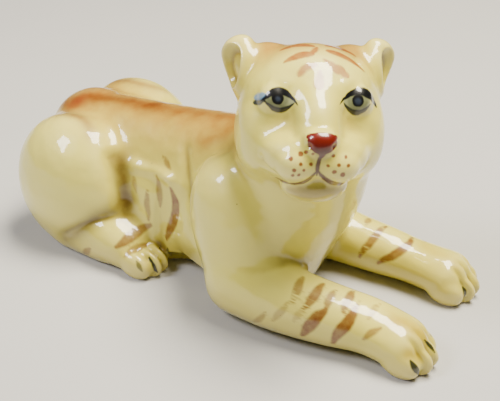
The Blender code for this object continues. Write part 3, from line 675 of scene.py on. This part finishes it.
haunchTop = [
    ([(-44.0, -9.2, 24.4), (-40.5, -9.2, 25.6), (-37.5, -9.3, 25.4), (-35.3, -10.2, 24.8),
      (-33.8, -11.4, 23.6)], 1.3, 0.7),
]
haunchCreases = [
    ([(-27.8, -10.4, 20.0), (-26.1, -11.3, 14.5), (-25.7, -12.0, 11.4)], 2.0, 0.88),
    ([(-36.6, -18.0, 3.6), (-31.6, -17.6, 7.6), (-28.9, -16.1, 10.3), (-26.4, -13.4, 11.2)], 1.6, 0.7),
]
sprays = {
    "spineLine": [
        ([(-43.5, -3.0, 25.3), (-40.5, -2.0, 26.6), (-35.2, -0.9, 27.2), (-26.5, -1.2, 28.0)], 1.9, 0.9),
        ([(-26.5, -1.2, 28.0), (-17.3, -2.0, 29.4), (-9.0, -2.4, 31.0), (-4.0, -3.5, 34.0)], 2.1, 0.68),
        *haunchTop,
        *acrossBody(haunchTop),
    ],
    "backWash": [
        ([(-44, 0, 25), (-35, 0, 27.5), (-24, -1.0, 28.5), (-12, -2.5, 31), (-5, -3.5, 34)], 9.0, 0.74),
        ([(-42.0, 2.0, 26.6), (-43.8, 8.0, 24.9)], 3.0, 0.45),
        ([(-42.0, -2.0, 26.6), (-43.8, -6.0, 24.9)], 2.5, 0.45),
        ([(-10.2, -7.6, 27.6), (-7.9, -6.6, 29.3), (-5.6, -5.2, 31.0)], 2.0, 0.6),
        ([(-10.2, 1.6, 27.6), (-7.9, 0.6, 29.3), (-5.6, -0.8, 31.0)], 2.0, 0.5),
    ],
    "rumpWash": [
        (
            [(-50, 0, 14), (-49, -0.5, 19), (-47, -2.5, 23), (-44.6, -4.6, 25.0), (-43.0, -4.0, 25.9)],
            2.0, 0.8,
        ),
        ([(-51, 1.5, 10), (-50, 6, 7), (-47, 12, 4)], 2.4, 0.5),
    ],
    "pawWash": [
        ([(31.4, -13.2, 8.3), (33.0, -12.9, 7.9), (34.6, -12.4, 7.2), (35.9, -12.0, 6.3)], 2.0, 0.8),
        ([(35.4, -16.5, 5.1), (36.5, -15.1, 4.2)], 1.1, 0.65),
        ([(26.6, 10.0, 8.0), (29.9, 9.3, 7.8), (33.1, 8.6, 7.2)], 1.9, 0.4),
    ],
    # Deep ochre along the haunch creases, partly gathered glaze and partly painted shade, and painted shade
    # under the belly behind the elbow.
    "creasePoolAndShade": [
        *haunchCreases,
        *acrossBody(haunchCreases),
        ([(-13.4, -11.9, 5.6), (-10.4, -12.9, 6.2)], 2.6, 0.45),
    ],
}
# How far the wet brush widens its stroke, the share of the width left at its tips, and a margin far outside

brushTip = {"widening": 1.3, "tip": 0.35}
farAway = -5.0
# Rounds of evening out after which the skin's hollows are measured, one after the other

hollowRounds = {"narrowHollow": 30, "wideHollow": 110}


def laidOn(points, path):
    # The smooth curve through the path, its points moved to the nearest points of the skin and evened out.
    path = smoothPath(path)
    path = np.array([points[np.square(points - spot).sum(axis=1).argmin()] for spot in path])
    for _ in range(3):
        path[1:-1] = (path[:-2] + 2 * path[1:-1] + path[2:]) / 4
    return path


def brushed(points, strokes):
    # How far inside the nearest stroke each point is, with the share s of the way along it:
    # widening * half width * (tip + (1 - tip) sin(pi s)) - distance.
    margin, strength = np.full(len(points), farAway), np.zeros(len(points))
    widening, tip = brushTip["widening"], brushTip["tip"]
    for path, width, power in strokes:
        path = laidOn(points, path)
        near = np.flatnonzero(((points > path.min(axis=0) - 2) & (points < path.max(axis=0) + 2)).all(axis=1))
        distance, share = alongPath(points[near], path)
        inside = widening * width * (tip + (1 - tip) * np.sin(np.pi * np.clip(share, 0, 1))) - distance
        strength[near] = np.where(inside > margin[near], power, strength[near])
        margin[near] = np.maximum(margin[near], inside)
    return margin, strength


def sprayed(points, puffs):
    # 1 - product of (1 - strength * exp(-(distance / spread)^2)).
    clear = np.ones(len(points))
    for path, spread, strength in puffs:
        clear *= 1 - strength * hump(alongPath(points, path)[0], spread)
    return 1 - clear


def keep(piece, name, values):
    # One number for each point, which the glaze reads by its name.
    layer = piece.data.attributes.new(name, "FLOAT", "POINT")
    layer.data.foreach_set("value", np.asarray(values, np.float32))


def paint(piece, points):
    brown = sum(brushwork.values(), [])
    brown += acrossBody(brushwork["right flank"] + brushwork["right hind foot"])
    ink = sum(inkwork.values(), []) + acrossBody(inkwork["right hind toes"])
    for name, strokes in (("brown", brown), ("ink", ink)):
        margin, strength = brushed(points, strokes)
        keep(piece, name + "Margin", margin)
        keep(piece, name + "Strength", strength)
    for name, puffs in sprays.items():
        keep(piece, name, sprayed(points, puffs))
    # How far the skin lies below the mean of its neighbourhood, in millimetres: where glaze gathers and where
    # shade is painted into the hollows.
    normals, evened = normalsOf(piece), points
    for name, rounds in hollowRounds.items():
        evened = neighbourMean(piece, evened, rounds)
        keep(piece, name, ((evened - points) * normals).sum(axis=1))


paint(figure, points)
print("painted")


# Materials

def linear(text):
    # From sRGB hex to linear light.
    shares = np.array([int(text[i:i + 2], 16) / 255 for i in (1, 3, 5)])
    return (*np.where(shares <= 0.04045, shares / 12.92, ((shares + 0.055) / 1.055) ** 2.4), 1.0)


def add(tree, kind, values=(), **settings):
    # A new node with these settings; each value goes to the next enabled input, or to the input it names.
    made = tree.nodes.new(kind)
    for key, value in settings.items():
        setattr(made, key, value)
    sockets = [socket for socket in made.inputs if socket.enabled]
    pairs = values.items() if isinstance(values, dict) else zip(range(len(values)), values)
    for key, value in pairs:
        socket = made.inputs[key] if isinstance(key, str) else sockets[key]
        if isinstance(value, bpy.types.Node):
            value = next(output for output in value.outputs if output.enabled)
        if isinstance(value, bpy.types.NodeSocket):
            tree.links.new(value, socket)
        elif value is not None:
            socket.default_value = value
    return made


def worked(tree, operation, *values, **settings):
    return add(tree, "ShaderNodeMath", values, operation=operation, **settings)


def emptyMaterial(name):
    material = bpy.data.materials.new(name)
    material.use_nodes = True
    material.node_tree.nodes.clear()
    return material, material.node_tree


noise, mapRange, mixing, vectors = (
    "ShaderNodeTexNoise", "ShaderNodeMapRange", "ShaderNodeMix", "ShaderNodeVectorMath",
)


def strokeGroup():
    # One brush stroke on a flat sheet, in millimetres: out comes how far inside it a position is, or "Before"
    # if that is more. Half width * sqrt(1 - t^2) * (1 + skew t) - |v - bend (1 - t^2)| - past the ends.
    tree = bpy.data.node_groups.new("brush stroke", "ShaderNodeTree")
    for name in ("Before", "Position", "Middle", "Turn", "Half length", "Half width", "Bend", "Skew"):
        kind = "Vector" if name in ("Position", "Middle", "Turn") else "Float"
        tree.interface.new_socket(name=name, in_out="INPUT", socket_type="NodeSocket" + kind)
    tree.interface.new_socket(name="Inside", in_out="OUTPUT", socket_type="NodeSocketFloat")
    given = add(tree, "NodeGroupInput").outputs
    values = {"Vector": given["Position"], "Location": given["Middle"], "Rotation": given["Turn"]}
    local = add(tree, "ShaderNodeMapping", values, vector_type="TEXTURE")
    apart = add(tree, "ShaderNodeSeparateXYZ", [local]).outputs
    t = worked(tree, "DIVIDE", apart[0], given["Half length"])
    square = worked(tree, "MULTIPLY", t, t)
    left = worked(tree, "SUBTRACT", 1.0, square, use_clamp=True)
    root = worked(tree, "SQRT", left)
    skewed = worked(tree, "MULTIPLY_ADD", t, given["Skew"], 1.0)
    width = worked(tree, "MULTIPLY", root, skewed)
    width = worked(tree, "MULTIPLY", width, given["Half width"])
    bent = worked(tree, "MULTIPLY", left, given["Bend"])
    off = worked(tree, "SUBTRACT", apart[1], bent)
    off = worked(tree, "ABSOLUTE", off)
    inside = worked(tree, "SUBTRACT", width, off)
    past = worked(tree, "SUBTRACT", worked(tree, "ABSOLUTE", t), 1.0)
    past = worked(tree, "MAXIMUM", past, 0.0)
    past = worked(tree, "MULTIPLY", past, given["Half length"])
    inside = worked(tree, "SUBTRACT", inside, past)
    inside = worked(tree, "MAXIMUM", inside, given["Before"])
    add(tree, "NodeGroupOutput", [inside])
    return tree


# Marks on the face in millimetres, seen from the front: from and to (left, up), half width, bend, skew

faceMarks = {
    "upperLids": [((-8.9, 2.1), (-3.3, 1.7), 0.62, 1.85, -0.3), ((3.2, 2.0), (10.2, 1.3), 0.66, 2.3, 0.3)],
    "lowerLids": [((-8.4, 2.2), (-3.8, 2.0), 0.46, -1.35, 0.0), ((3.9, 2.2), (8.7, 2.0), 0.48, -1.5, 0.0)],
    "eyes": [((-8.2, 2.3), (-3.8, 2.2), 1.5, 0.2, 0.0), ((4.0, 2.4), (8.5, 2.2), 1.6, 0.2, 0.0)],
    "tails": [((-8.1, 2.5), (-9.9, 1.4), 0.5, 0.0, 0.2)],
    # A painted reflection: a bright blue-grey streak at the outer corner of the eye on the figure's right.
    "blueReflectionAtEye": [((-8.3, 3.3), (-9.8, 2.2), 0.42, 0.0, 0.0)],
    "nose": [
        ((-2.4, -2.75), (2.55, -2.85), 0.8, 0.0, 0.0), ((-2.05, -2.9), (0.0, -5.3), 0.75, -0.1, -0.25),
        ((2.25, -3.0), (0.1, -5.3), 0.75, 0.1, -0.25), ((0.1, -2.1), (0.05, -6.0), 1.0, 0.0, -0.3),
    ],
    "noseShade": [((-1.2, -4.6), (1.3, -4.6), 0.8, -0.5, 0.0)],
    "mouth": [
        ((0.0, -5.3), (-0.35, -9.0), 0.36, -0.2, 0.0), ((-0.5, -8.1), (-4.8, -10.55), 0.33, 0.75, -0.3),
        ((-0.4, -7.9), (4.9, -10.4), 0.4, -0.85, 0.0), ((-4.2, -10.6), (-6.2, -10.1), 0.2, 0.1, -0.3),
    ],
    # Under the lips a brown tint, partly brushed brown and partly painted shade under the muzzle.
    "underLipTintAndShade": [((-4.6, -11.6), (4.8, -11.4), 1.3, -0.5, 0.0)],
}
# Round dots on the face: left, up, radius

faceDots = {
    "irises": [(-6.4, 2.4, 1.7), (6.4, 2.4, 1.75)],
    "pupils": [(-6.35, 2.6, 0.98), (6.4, 2.5, 0.95)],
    "glints": [(-6.35, 2.5, 0.42), (6.4, 2.4, 0.5)],
    "whiskers": [
        (-4.6, -6.2, 0.36), (-3.1, -5.45, 0.4), (-2.3, -5.1, 0.34), (-1.3, -5.3, 0.22), (-3.1, -7.0, 0.3),
        (-1.5, -7.0, 0.3), (-4.1, -8.0, 0.34), (-2.6, -7.9, 0.24), (-4.2, -8.8, 0.24), (-3.3, -8.7, 0.24),
        (1.9, -5.6, 0.3), (3.9, -5.8, 0.26), (1.2, -7.2, 0.26), (2.8, -7.0, 0.3), (4.3, -7.1, 0.28),
        (2.2, -8.1, 0.36), (3.5, -8.5, 0.38),
    ],
}
# Marks over the crown: the second number is millimetres round the skull from straight ahead up and back

crownMarks = {
    "bands": [
        ((-5.6, 14.0), (0.1, 12.9), 0.85, 0.8, 0.1), ((-5.3, 9.0), (-0.3, 10.4), 0.9, 0.35, 0.35),
        ((-1.1, 10.1), (0.4, 12.8), 0.55, -0.2, 0.0), ((1.7, 13.8), (7.2, 14.2), 0.85, 0.9, 0.0),
        ((1.6, 11.7), (8.2, 9.5), 0.85, 0.35, -0.35),
    ],
    "blotches": [
        ((-3.1, 5.3), (-2.1, 7.0), 0.6, 0.1, 0.2), ((-2.8, 6.7), (0.0, 7.7), 0.7, 0.1, -0.1),
        ((0.9, 9.1), (3.2, 7.4), 0.55, -0.1, 0.4), ((2.2, 7.1), (4.5, 7.1), 1.1, 0.0, 0.0),
        ((3.5, 7.0), (5.0, 5.7), 0.75, 0.0, 0.0), ((0.3, 6.6), (-0.1, 2.9), 0.75, 0.0, 0.45),
    ],
}
# Each mark's soft edge in millimetres, cover and colour, in the order of painting

markCover = {
    "bands": (0.3, 0.9, "crown"), "blotches": (0.35, 0.8, "blotch"), "underLipTintAndShade": (0.8, 0.6, "underLipTintAndShade"),
    "tails": (0.15, 0.95, "tail"), "eyes": (0.1, 0.9, "eye"), "irises": (0.3, 0.6, "iris"),
    "pupils": (0.12, 1.0, "black"), "glints": (0.25, 0.6, "glint"), "lowerLids": (0.15, 0.92, "black"),
    "upperLids": (0.15, 1.0, "black"), "blueReflectionAtEye": (0.2, 0.8, "reflectionBlueGrey"), "nose": (0.12, 1.0, "brick"),
    "noseShade": (0.9, 0.7, "noseShade"), "mouth": (0.15, 0.95, "lip"), "whiskers": (0.13, 0.9, "whisker"),
}
sprayColours = {
    "backWash": "sprayedOrange", "spineLine": "spineOrange", "rumpWash": "rust", "pawWash": "pawYellow",
    "creasePoolAndShade": "deepOchre",
}
glazeColours = {
    "cream": "#e2d75e", "thin": "#f3e88e", "ochre": "#9a7d12", "deepOchre": "#553a08",
    "sprayedOrange": "#a46004", "spineOrange": "#7a4002", "rust": "#8a3e16", "pawYellow": "#b89c00",
    "brown": "#6e2e02", "green": "#101a10", "black": "#0b0b0a", "iris": "#565c44", "eye": "#8f966c",
    "reflectionBlueGrey": "#5f93be", "tail": "#1c2830", "glint": "#3c4656", "brick": "#6e1808", "noseShade": "#3a0c04",
    "lip": "#480c06", "underLipTintAndShade": "#6a4416", "whisker": "#7c3008", "crown": "#9a4a06", "blotch": "#a35e34",
    "speck": "#5a4526", "biscuit": "#e4d9c2",
}
# How strongly each effect shows in the glaze, with lengths in millimetres

glazeWork = {
    "handWander": 0.3, "raggedEdge": 0.28, "brushCover": 0.95, "brownEdge": 0.3, "inkEdge": 0.16,
    "thinOnRidges": 0.7, "pooledAndShaded": 0.72, "deepPooledAndShaded": 0.7, "paintedLowShade": 0.34, "paintedLowShadeFrom": 11.0,
    "crownWash": 0.72, "speckCover": 0.7, "waveHeight": 1.2, "grainHeight": 0.1, "roughness": 0.35,
    "footRoughness": 0.85, "coatRoughness": 0.03, "coatIndex": 1.52, "specular": 0.3, "translucency": 0.1,
}


def laidMarks(tree, group, position, marks):
    # The marks one after another: how far inside the nearest of them a position is.
    inside = farAway
    for start, end, halfWidth, bend, skew in marks:
        along, middle = np.subtract(end, start), np.add(start, end) / 2
        inside = add(tree, "ShaderNodeGroup", {
            "Before": inside, "Position": position, "Middle": (*middle, 0),
            "Turn": (0, 0, math.atan2(along[1], along[0])), "Half length": float(np.hypot(*along) / 2),
            "Half width": halfWidth, "Bend": bend, "Skew": skew,
        }, node_tree=group).outputs[0]
    return inside


def laidDots(tree, position, dots):
    # Radius - distance, for the nearest of the dots.
    inside = farAway
    for left, up, radius in dots:
        gap = add(tree, vectors, [position, (left, up, 0)], operation="DISTANCE")
        within = worked(tree, "SUBTRACT", radius, gap)
        inside = worked(tree, "MAXIMUM", within, inside)
    return inside


def brushedGlaze(place):
    # Cream-white slip-cast body with sprayed and brushed colour, dipped in thick clear glaze.
    material, tree = emptyMaterial("creamGlazeOverBrushedColour")
    glaze, colours = glazeWork, {name: linear(text) for name, text in glazeColours.items()}
    here = add(tree, "ShaderNodeTexCoord").outputs["Object"]
    matrix = headMatrix()
    head = add(tree, "ShaderNodeMapping", {
        "Vector": here, "Location": Vector(place) + matrix.translation * mm,
        "Rotation": matrix.to_euler("XYZ"), "Scale": (mm, mm, mm),
    }, vector_type="TEXTURE")
    inMillimetres = add(tree, vectors, {"Vector": here, "Scale": 1000.0}, operation="SCALE")

    # A painter's hand: the marks wander by a small noise.
    wander = add(tree, noise, {"Vector": head, "Scale": 1.1, "Detail": 2.0})
    wander = add(tree, vectors, [wander.outputs["Color"], (0.5, 0.5, 0.5)], operation="SUBTRACT")
    wander = add(tree, vectors, {"Vector": wander, "Scale": glaze["handWander"]}, operation="SCALE")
    moved = add(tree, vectors, [head, wander], operation="ADD")
    forward, left, up = add(tree, "ShaderNodeSeparateXYZ", [moved]).outputs
    front = add(tree, "ShaderNodeCombineXYZ", [left, up, 0.0]).outputs[0]
    lifted = worked(tree, "SUBTRACT", up, skullSizes["crownHeight"] * 0.1)
    angle = worked(tree, "ARCTAN2", lifted, forward)
    overSkull = worked(tree, "MULTIPLY", angle, skullSizes["halfLength"])
    crown = add(tree, "ShaderNodeCombineXYZ", [left, overSkull, 0.0]).outputs[0]
    inFront = add(tree, mapRange, [forward, 4.0, 5.5, 0.0, 1.0])
    group = strokeGroup()

    def painted(name):
        return add(tree, "ShaderNodeAttribute", attribute_name=name).outputs["Fac"]

    def cover(inside, soft, strength=1.0, limit=1.0):
        found = add(tree, mapRange, [inside, -soft, soft, 0.0, strength], interpolation_type="SMOOTHSTEP")
        return worked(tree, "MULTIPLY", found, limit)

    def over(base, factor, colour):
        return add(tree, mixing, [factor, base, colour], data_type="RGBA", clamp_factor=True)

    # The glaze is pale and thin on ridges. Ochre in the hollows is partly gathered glaze and partly painted
    # shade, and the ochre that deepens towards the foot is painted shade.
    streak = add(tree, noise, {"Vector": inMillimetres, "Scale": 0.35, "Detail": 3.0, "Roughness": 0.55})
    fine = add(tree, noise, {"Vector": inMillimetres, "Scale": 0.8, "Detail": 3.0, "Roughness": 0.55})
    thin = add(tree, mapRange, [painted("wideHollow"), -0.15, -0.75, 0.0, glaze["thinOnRidges"]])
    colour = over(colours["cream"], thin, colours["thin"])
    pooledAndShaded = cover(worked(tree, "SUBTRACT", painted("wideHollow"), 0.42), 0.4, glaze["pooledAndShaded"])
    pooledAndShaded = worked(tree, "MULTIPLY", pooledAndShaded, add(tree, mapRange, [streak, 0.3, 0.7, 0.75, 1.0]))
    height = add(tree, "ShaderNodeSeparateXYZ", [inMillimetres]).outputs[2]
    # Painted shade: the colour turns darker ochre towards the floor.
    paintedLowShade = [height, glaze["paintedLowShadeFrom"], 0.5, 0.0, glaze["paintedLowShade"]]
    low = add(tree, mapRange, paintedLowShade, interpolation_type="SMOOTHSTEP")
    pooledAndShaded = worked(tree, "MAXIMUM", pooledAndShaded, low)
    colour = over(colour, pooledAndShaded, colours["ochre"])
    narrow = worked(tree, "SUBTRACT", painted("narrowHollow"), 0.22)
    colour = over(colour, cover(narrow, 0.18, glaze["deepPooledAndShaded"]), colours["deepOchre"])
    # Sprayed colour, with the cloudiness of an airbrush.
    cloud = add(tree, mapRange, [streak, 0.25, 0.75, 0.8, 1.1])
    for name, tint in sprayColours.items():
        colour = over(colour, worked(tree, "MULTIPLY", painted(name), cloud), colours[tint])
    beside = add(tree, mapRange, [worked(tree, "ABSOLUTE", left), 7.5, 10.5, 1.0, 0.1])
    washed = add(tree, mapRange, [overSkull, 9.0, 16.0, 0.0, glaze["crownWash"]])
    washed = worked(tree, "MULTIPLY", washed, beside)
    nape = add(tree, mapRange, [overSkull, 18.0, 29.0, 1.0, 0.0], interpolation_type="SMOOTHSTEP")
    washed = worked(tree, "MULTIPLY", washed, nape)
    colour = over(colour, washed, colours["sprayedOrange"])
    # Brushed strokes: slightly ragged edges and uneven cover.
    ragged = worked(tree, "SUBTRACT", fine, 0.5)
    ragged = worked(tree, "MULTIPLY", ragged, glaze["raggedEdge"])
    uneven = add(tree, mapRange, [fine, 0.3, 0.7, 0.82, 1.0])
    margin = worked(tree, "ADD", painted("brownMargin"), ragged)
    factor = worked(tree, "MULTIPLY", painted("brownStrength"), uneven)
    colour = over(colour, cover(margin, glaze["brownEdge"], glaze["brushCover"], factor), colours["brown"])
    margin = worked(tree, "ADD", painted("inkMargin"), ragged)
    factor = painted("inkStrength")
    colour = over(colour, cover(margin, glaze["inkEdge"], glaze["brushCover"], factor), colours["green"])
    for name, (soft, strength, tint) in markCover.items():
        limit = uneven if name in crownMarks else inFront
        if name in faceDots:
            inside = laidDots(tree, front, faceDots[name])
        elif name in crownMarks:
            inside = laidMarks(tree, group, crown, crownMarks[name])
        else:
            inside = laidMarks(tree, group, front, faceMarks[name])
        colour = over(colour, cover(inside, soft, strength, limit), colours[tint])
    # A few specks of iron in the clay, a tenth of a millimetre across.
    cells = add(tree, "ShaderNodeTexVoronoi", {"Vector": inMillimetres, "Scale": 0.28})
    chance = add(tree, "ShaderNodeSeparateColor", [cells.outputs["Color"]])
    chosen = worked(tree, "GREATER_THAN", chance, 0.72)
    speck = add(tree, mapRange, [cells.outputs["Distance"], 0.02, 0.045, glaze["speckCover"], 0.0])
    colour = over(colour, worked(tree, "MULTIPLY", speck, chosen), colours["speck"])
    # The bare foot, wiped clean of glaze before firing.
    wobble = worked(tree, "MULTIPLY", fine, 0.25)
    height = worked(tree, "SUBTRACT", height, wobble)
    glazed = add(tree, mapRange, [height, 0.12, 0.3, 0.0, 1.0])
    colour = over(colours["biscuit"], glazed, colour)
    # Slow waves in the thick glaze and, on the bare foot, a fine grain.
    slow = add(tree, noise, {"Vector": inMillimetres, "Scale": 0.22, "Detail": 1.5})
    grain = add(tree, noise, {"Vector": inMillimetres, "Scale": 9.0, "Detail": 3.0})
    waves = add(tree, "ShaderNodeBump", {
        "Height": slow, "Strength": 0.3, "Distance": glaze["waveHeight"] * mm,
    })
    grained = add(tree, "ShaderNodeBump", {
        "Height": grain, "Strength": 0.15, "Distance": glaze["grainHeight"] * mm, "Normal": waves,
    })
    surface = add(tree, "ShaderNodeBsdfPrincipled", {
        "Base Color": colour,
        "Roughness": add(tree, mapRange, [glazed, 0.0, 1.0, glaze["footRoughness"], glaze["roughness"]]),
        "Specular IOR Level": glaze["specular"],
        "Coat Weight": glazed,
        "Coat Roughness": glaze["coatRoughness"],
        "Coat IOR": glaze["coatIndex"],
        "Coat Normal": waves,
        "Normal": grained,
        "Subsurface Weight": glaze["translucency"],
        "Subsurface Radius": (1.0, 0.7, 0.4),
        "Subsurface Scale": 0.0012,
    })
    add(tree, "ShaderNodeOutputMaterial", [surface])
    return material


def mattPaper(name, tint):
    # A sheet of matt uncoated card, a little cloudy from the pulp.
    material, tree = emptyMaterial(name)
    here = add(tree, "ShaderNodeTexCoord").outputs["Object"]
    cloud = add(tree, noise, {"Vector": here, "Scale": 9.0, "Detail": 3.0})
    tone = add(tree, mapRange, [cloud, 0.3, 0.7, 0.96, 1.02])
    colour = add(tree, mixing, [1.0, linear(tint), tone], data_type="RGBA", blend_type="MULTIPLY")
    surface = add(tree, "ShaderNodeBsdfPrincipled", {"Base Color": colour, "Roughness": 0.75})
    add(tree, "ShaderNodeOutputMaterial", [surface])
    return material


figure.data.materials.append(brushedGlaze(place))

floor = newPiece("floor", [(-2, -2, 0), (2, -2, 0), (2, 2, 0), (-2, 2, 0)], [(0, 1, 2, 3)])
floor.data.materials.append(mattPaper("palePaperSheet", "#bcbbb7"))

cameraView = {
    "azimuth": 32.0, "elevation": 31.0, "distance": 0.187, "lens": 72.0, "target": (-4.1, -2.0, 14.4),
}
azimuth, elevation = math.radians(cameraView["azimuth"]), math.radians(cameraView["elevation"])
level = math.cos(elevation)
back = Vector((math.sin(azimuth) * level, -math.cos(azimuth) * level, math.sin(elevation)))
target = Vector(cameraView["target"]) * mm + Vector(place)
camera = bpy.data.objects.new("camera", bpy.data.cameras.new("camera"))
camera.location = target + back * cameraView["distance"]
camera.rotation_euler = (-back).to_track_quat("-Z", "Y").to_euler()
camera.data.lens = cameraView["lens"]
camera.data.sensor_width = 36.0
camera.data.clip_start = 0.01
bpy.context.scene.collection.objects.link(camera)
bpy.context.scene.camera = camera

# Soft studio light: a wide panel overhead and a little behind, a window low on the left, the room's dim light

lights = {
    # name: (position in metres, power in watts, width, height, colour)
    "overheadPanel": ((0.08, 0.09, 0.40), 5.4, 0.24, 0.18, "#fff6e2"),
    "window": ((-0.20, -0.24, 0.34), 1.6, 0.12, 0.16, "#fbf8ff"),
}
aim = Vector((0, 0, 0.015))
for name, (spot, power, width, height, tint) in lights.items():
    light = bpy.data.objects.new(name, bpy.data.lights.new(name, "AREA"))
    light.location = spot
    light.rotation_euler = (aim - Vector(spot)).to_track_quat("-Z", "Y").to_euler()
    light.data.energy = power
    light.data.shape = "RECTANGLE"
    light.data.size = width
    light.data.size_y = height
    light.data.color = linear(tint)[:3]
    bpy.context.scene.collection.objects.link(light)
world = bpy.data.worlds.new("dimRoom")
world.use_nodes = True
world.node_tree.nodes["Background"].inputs["Color"].default_value = linear("#e8ecf0")
world.node_tree.nodes["Background"].inputs["Strength"].default_value = 0.08
bpy.context.scene.world = world
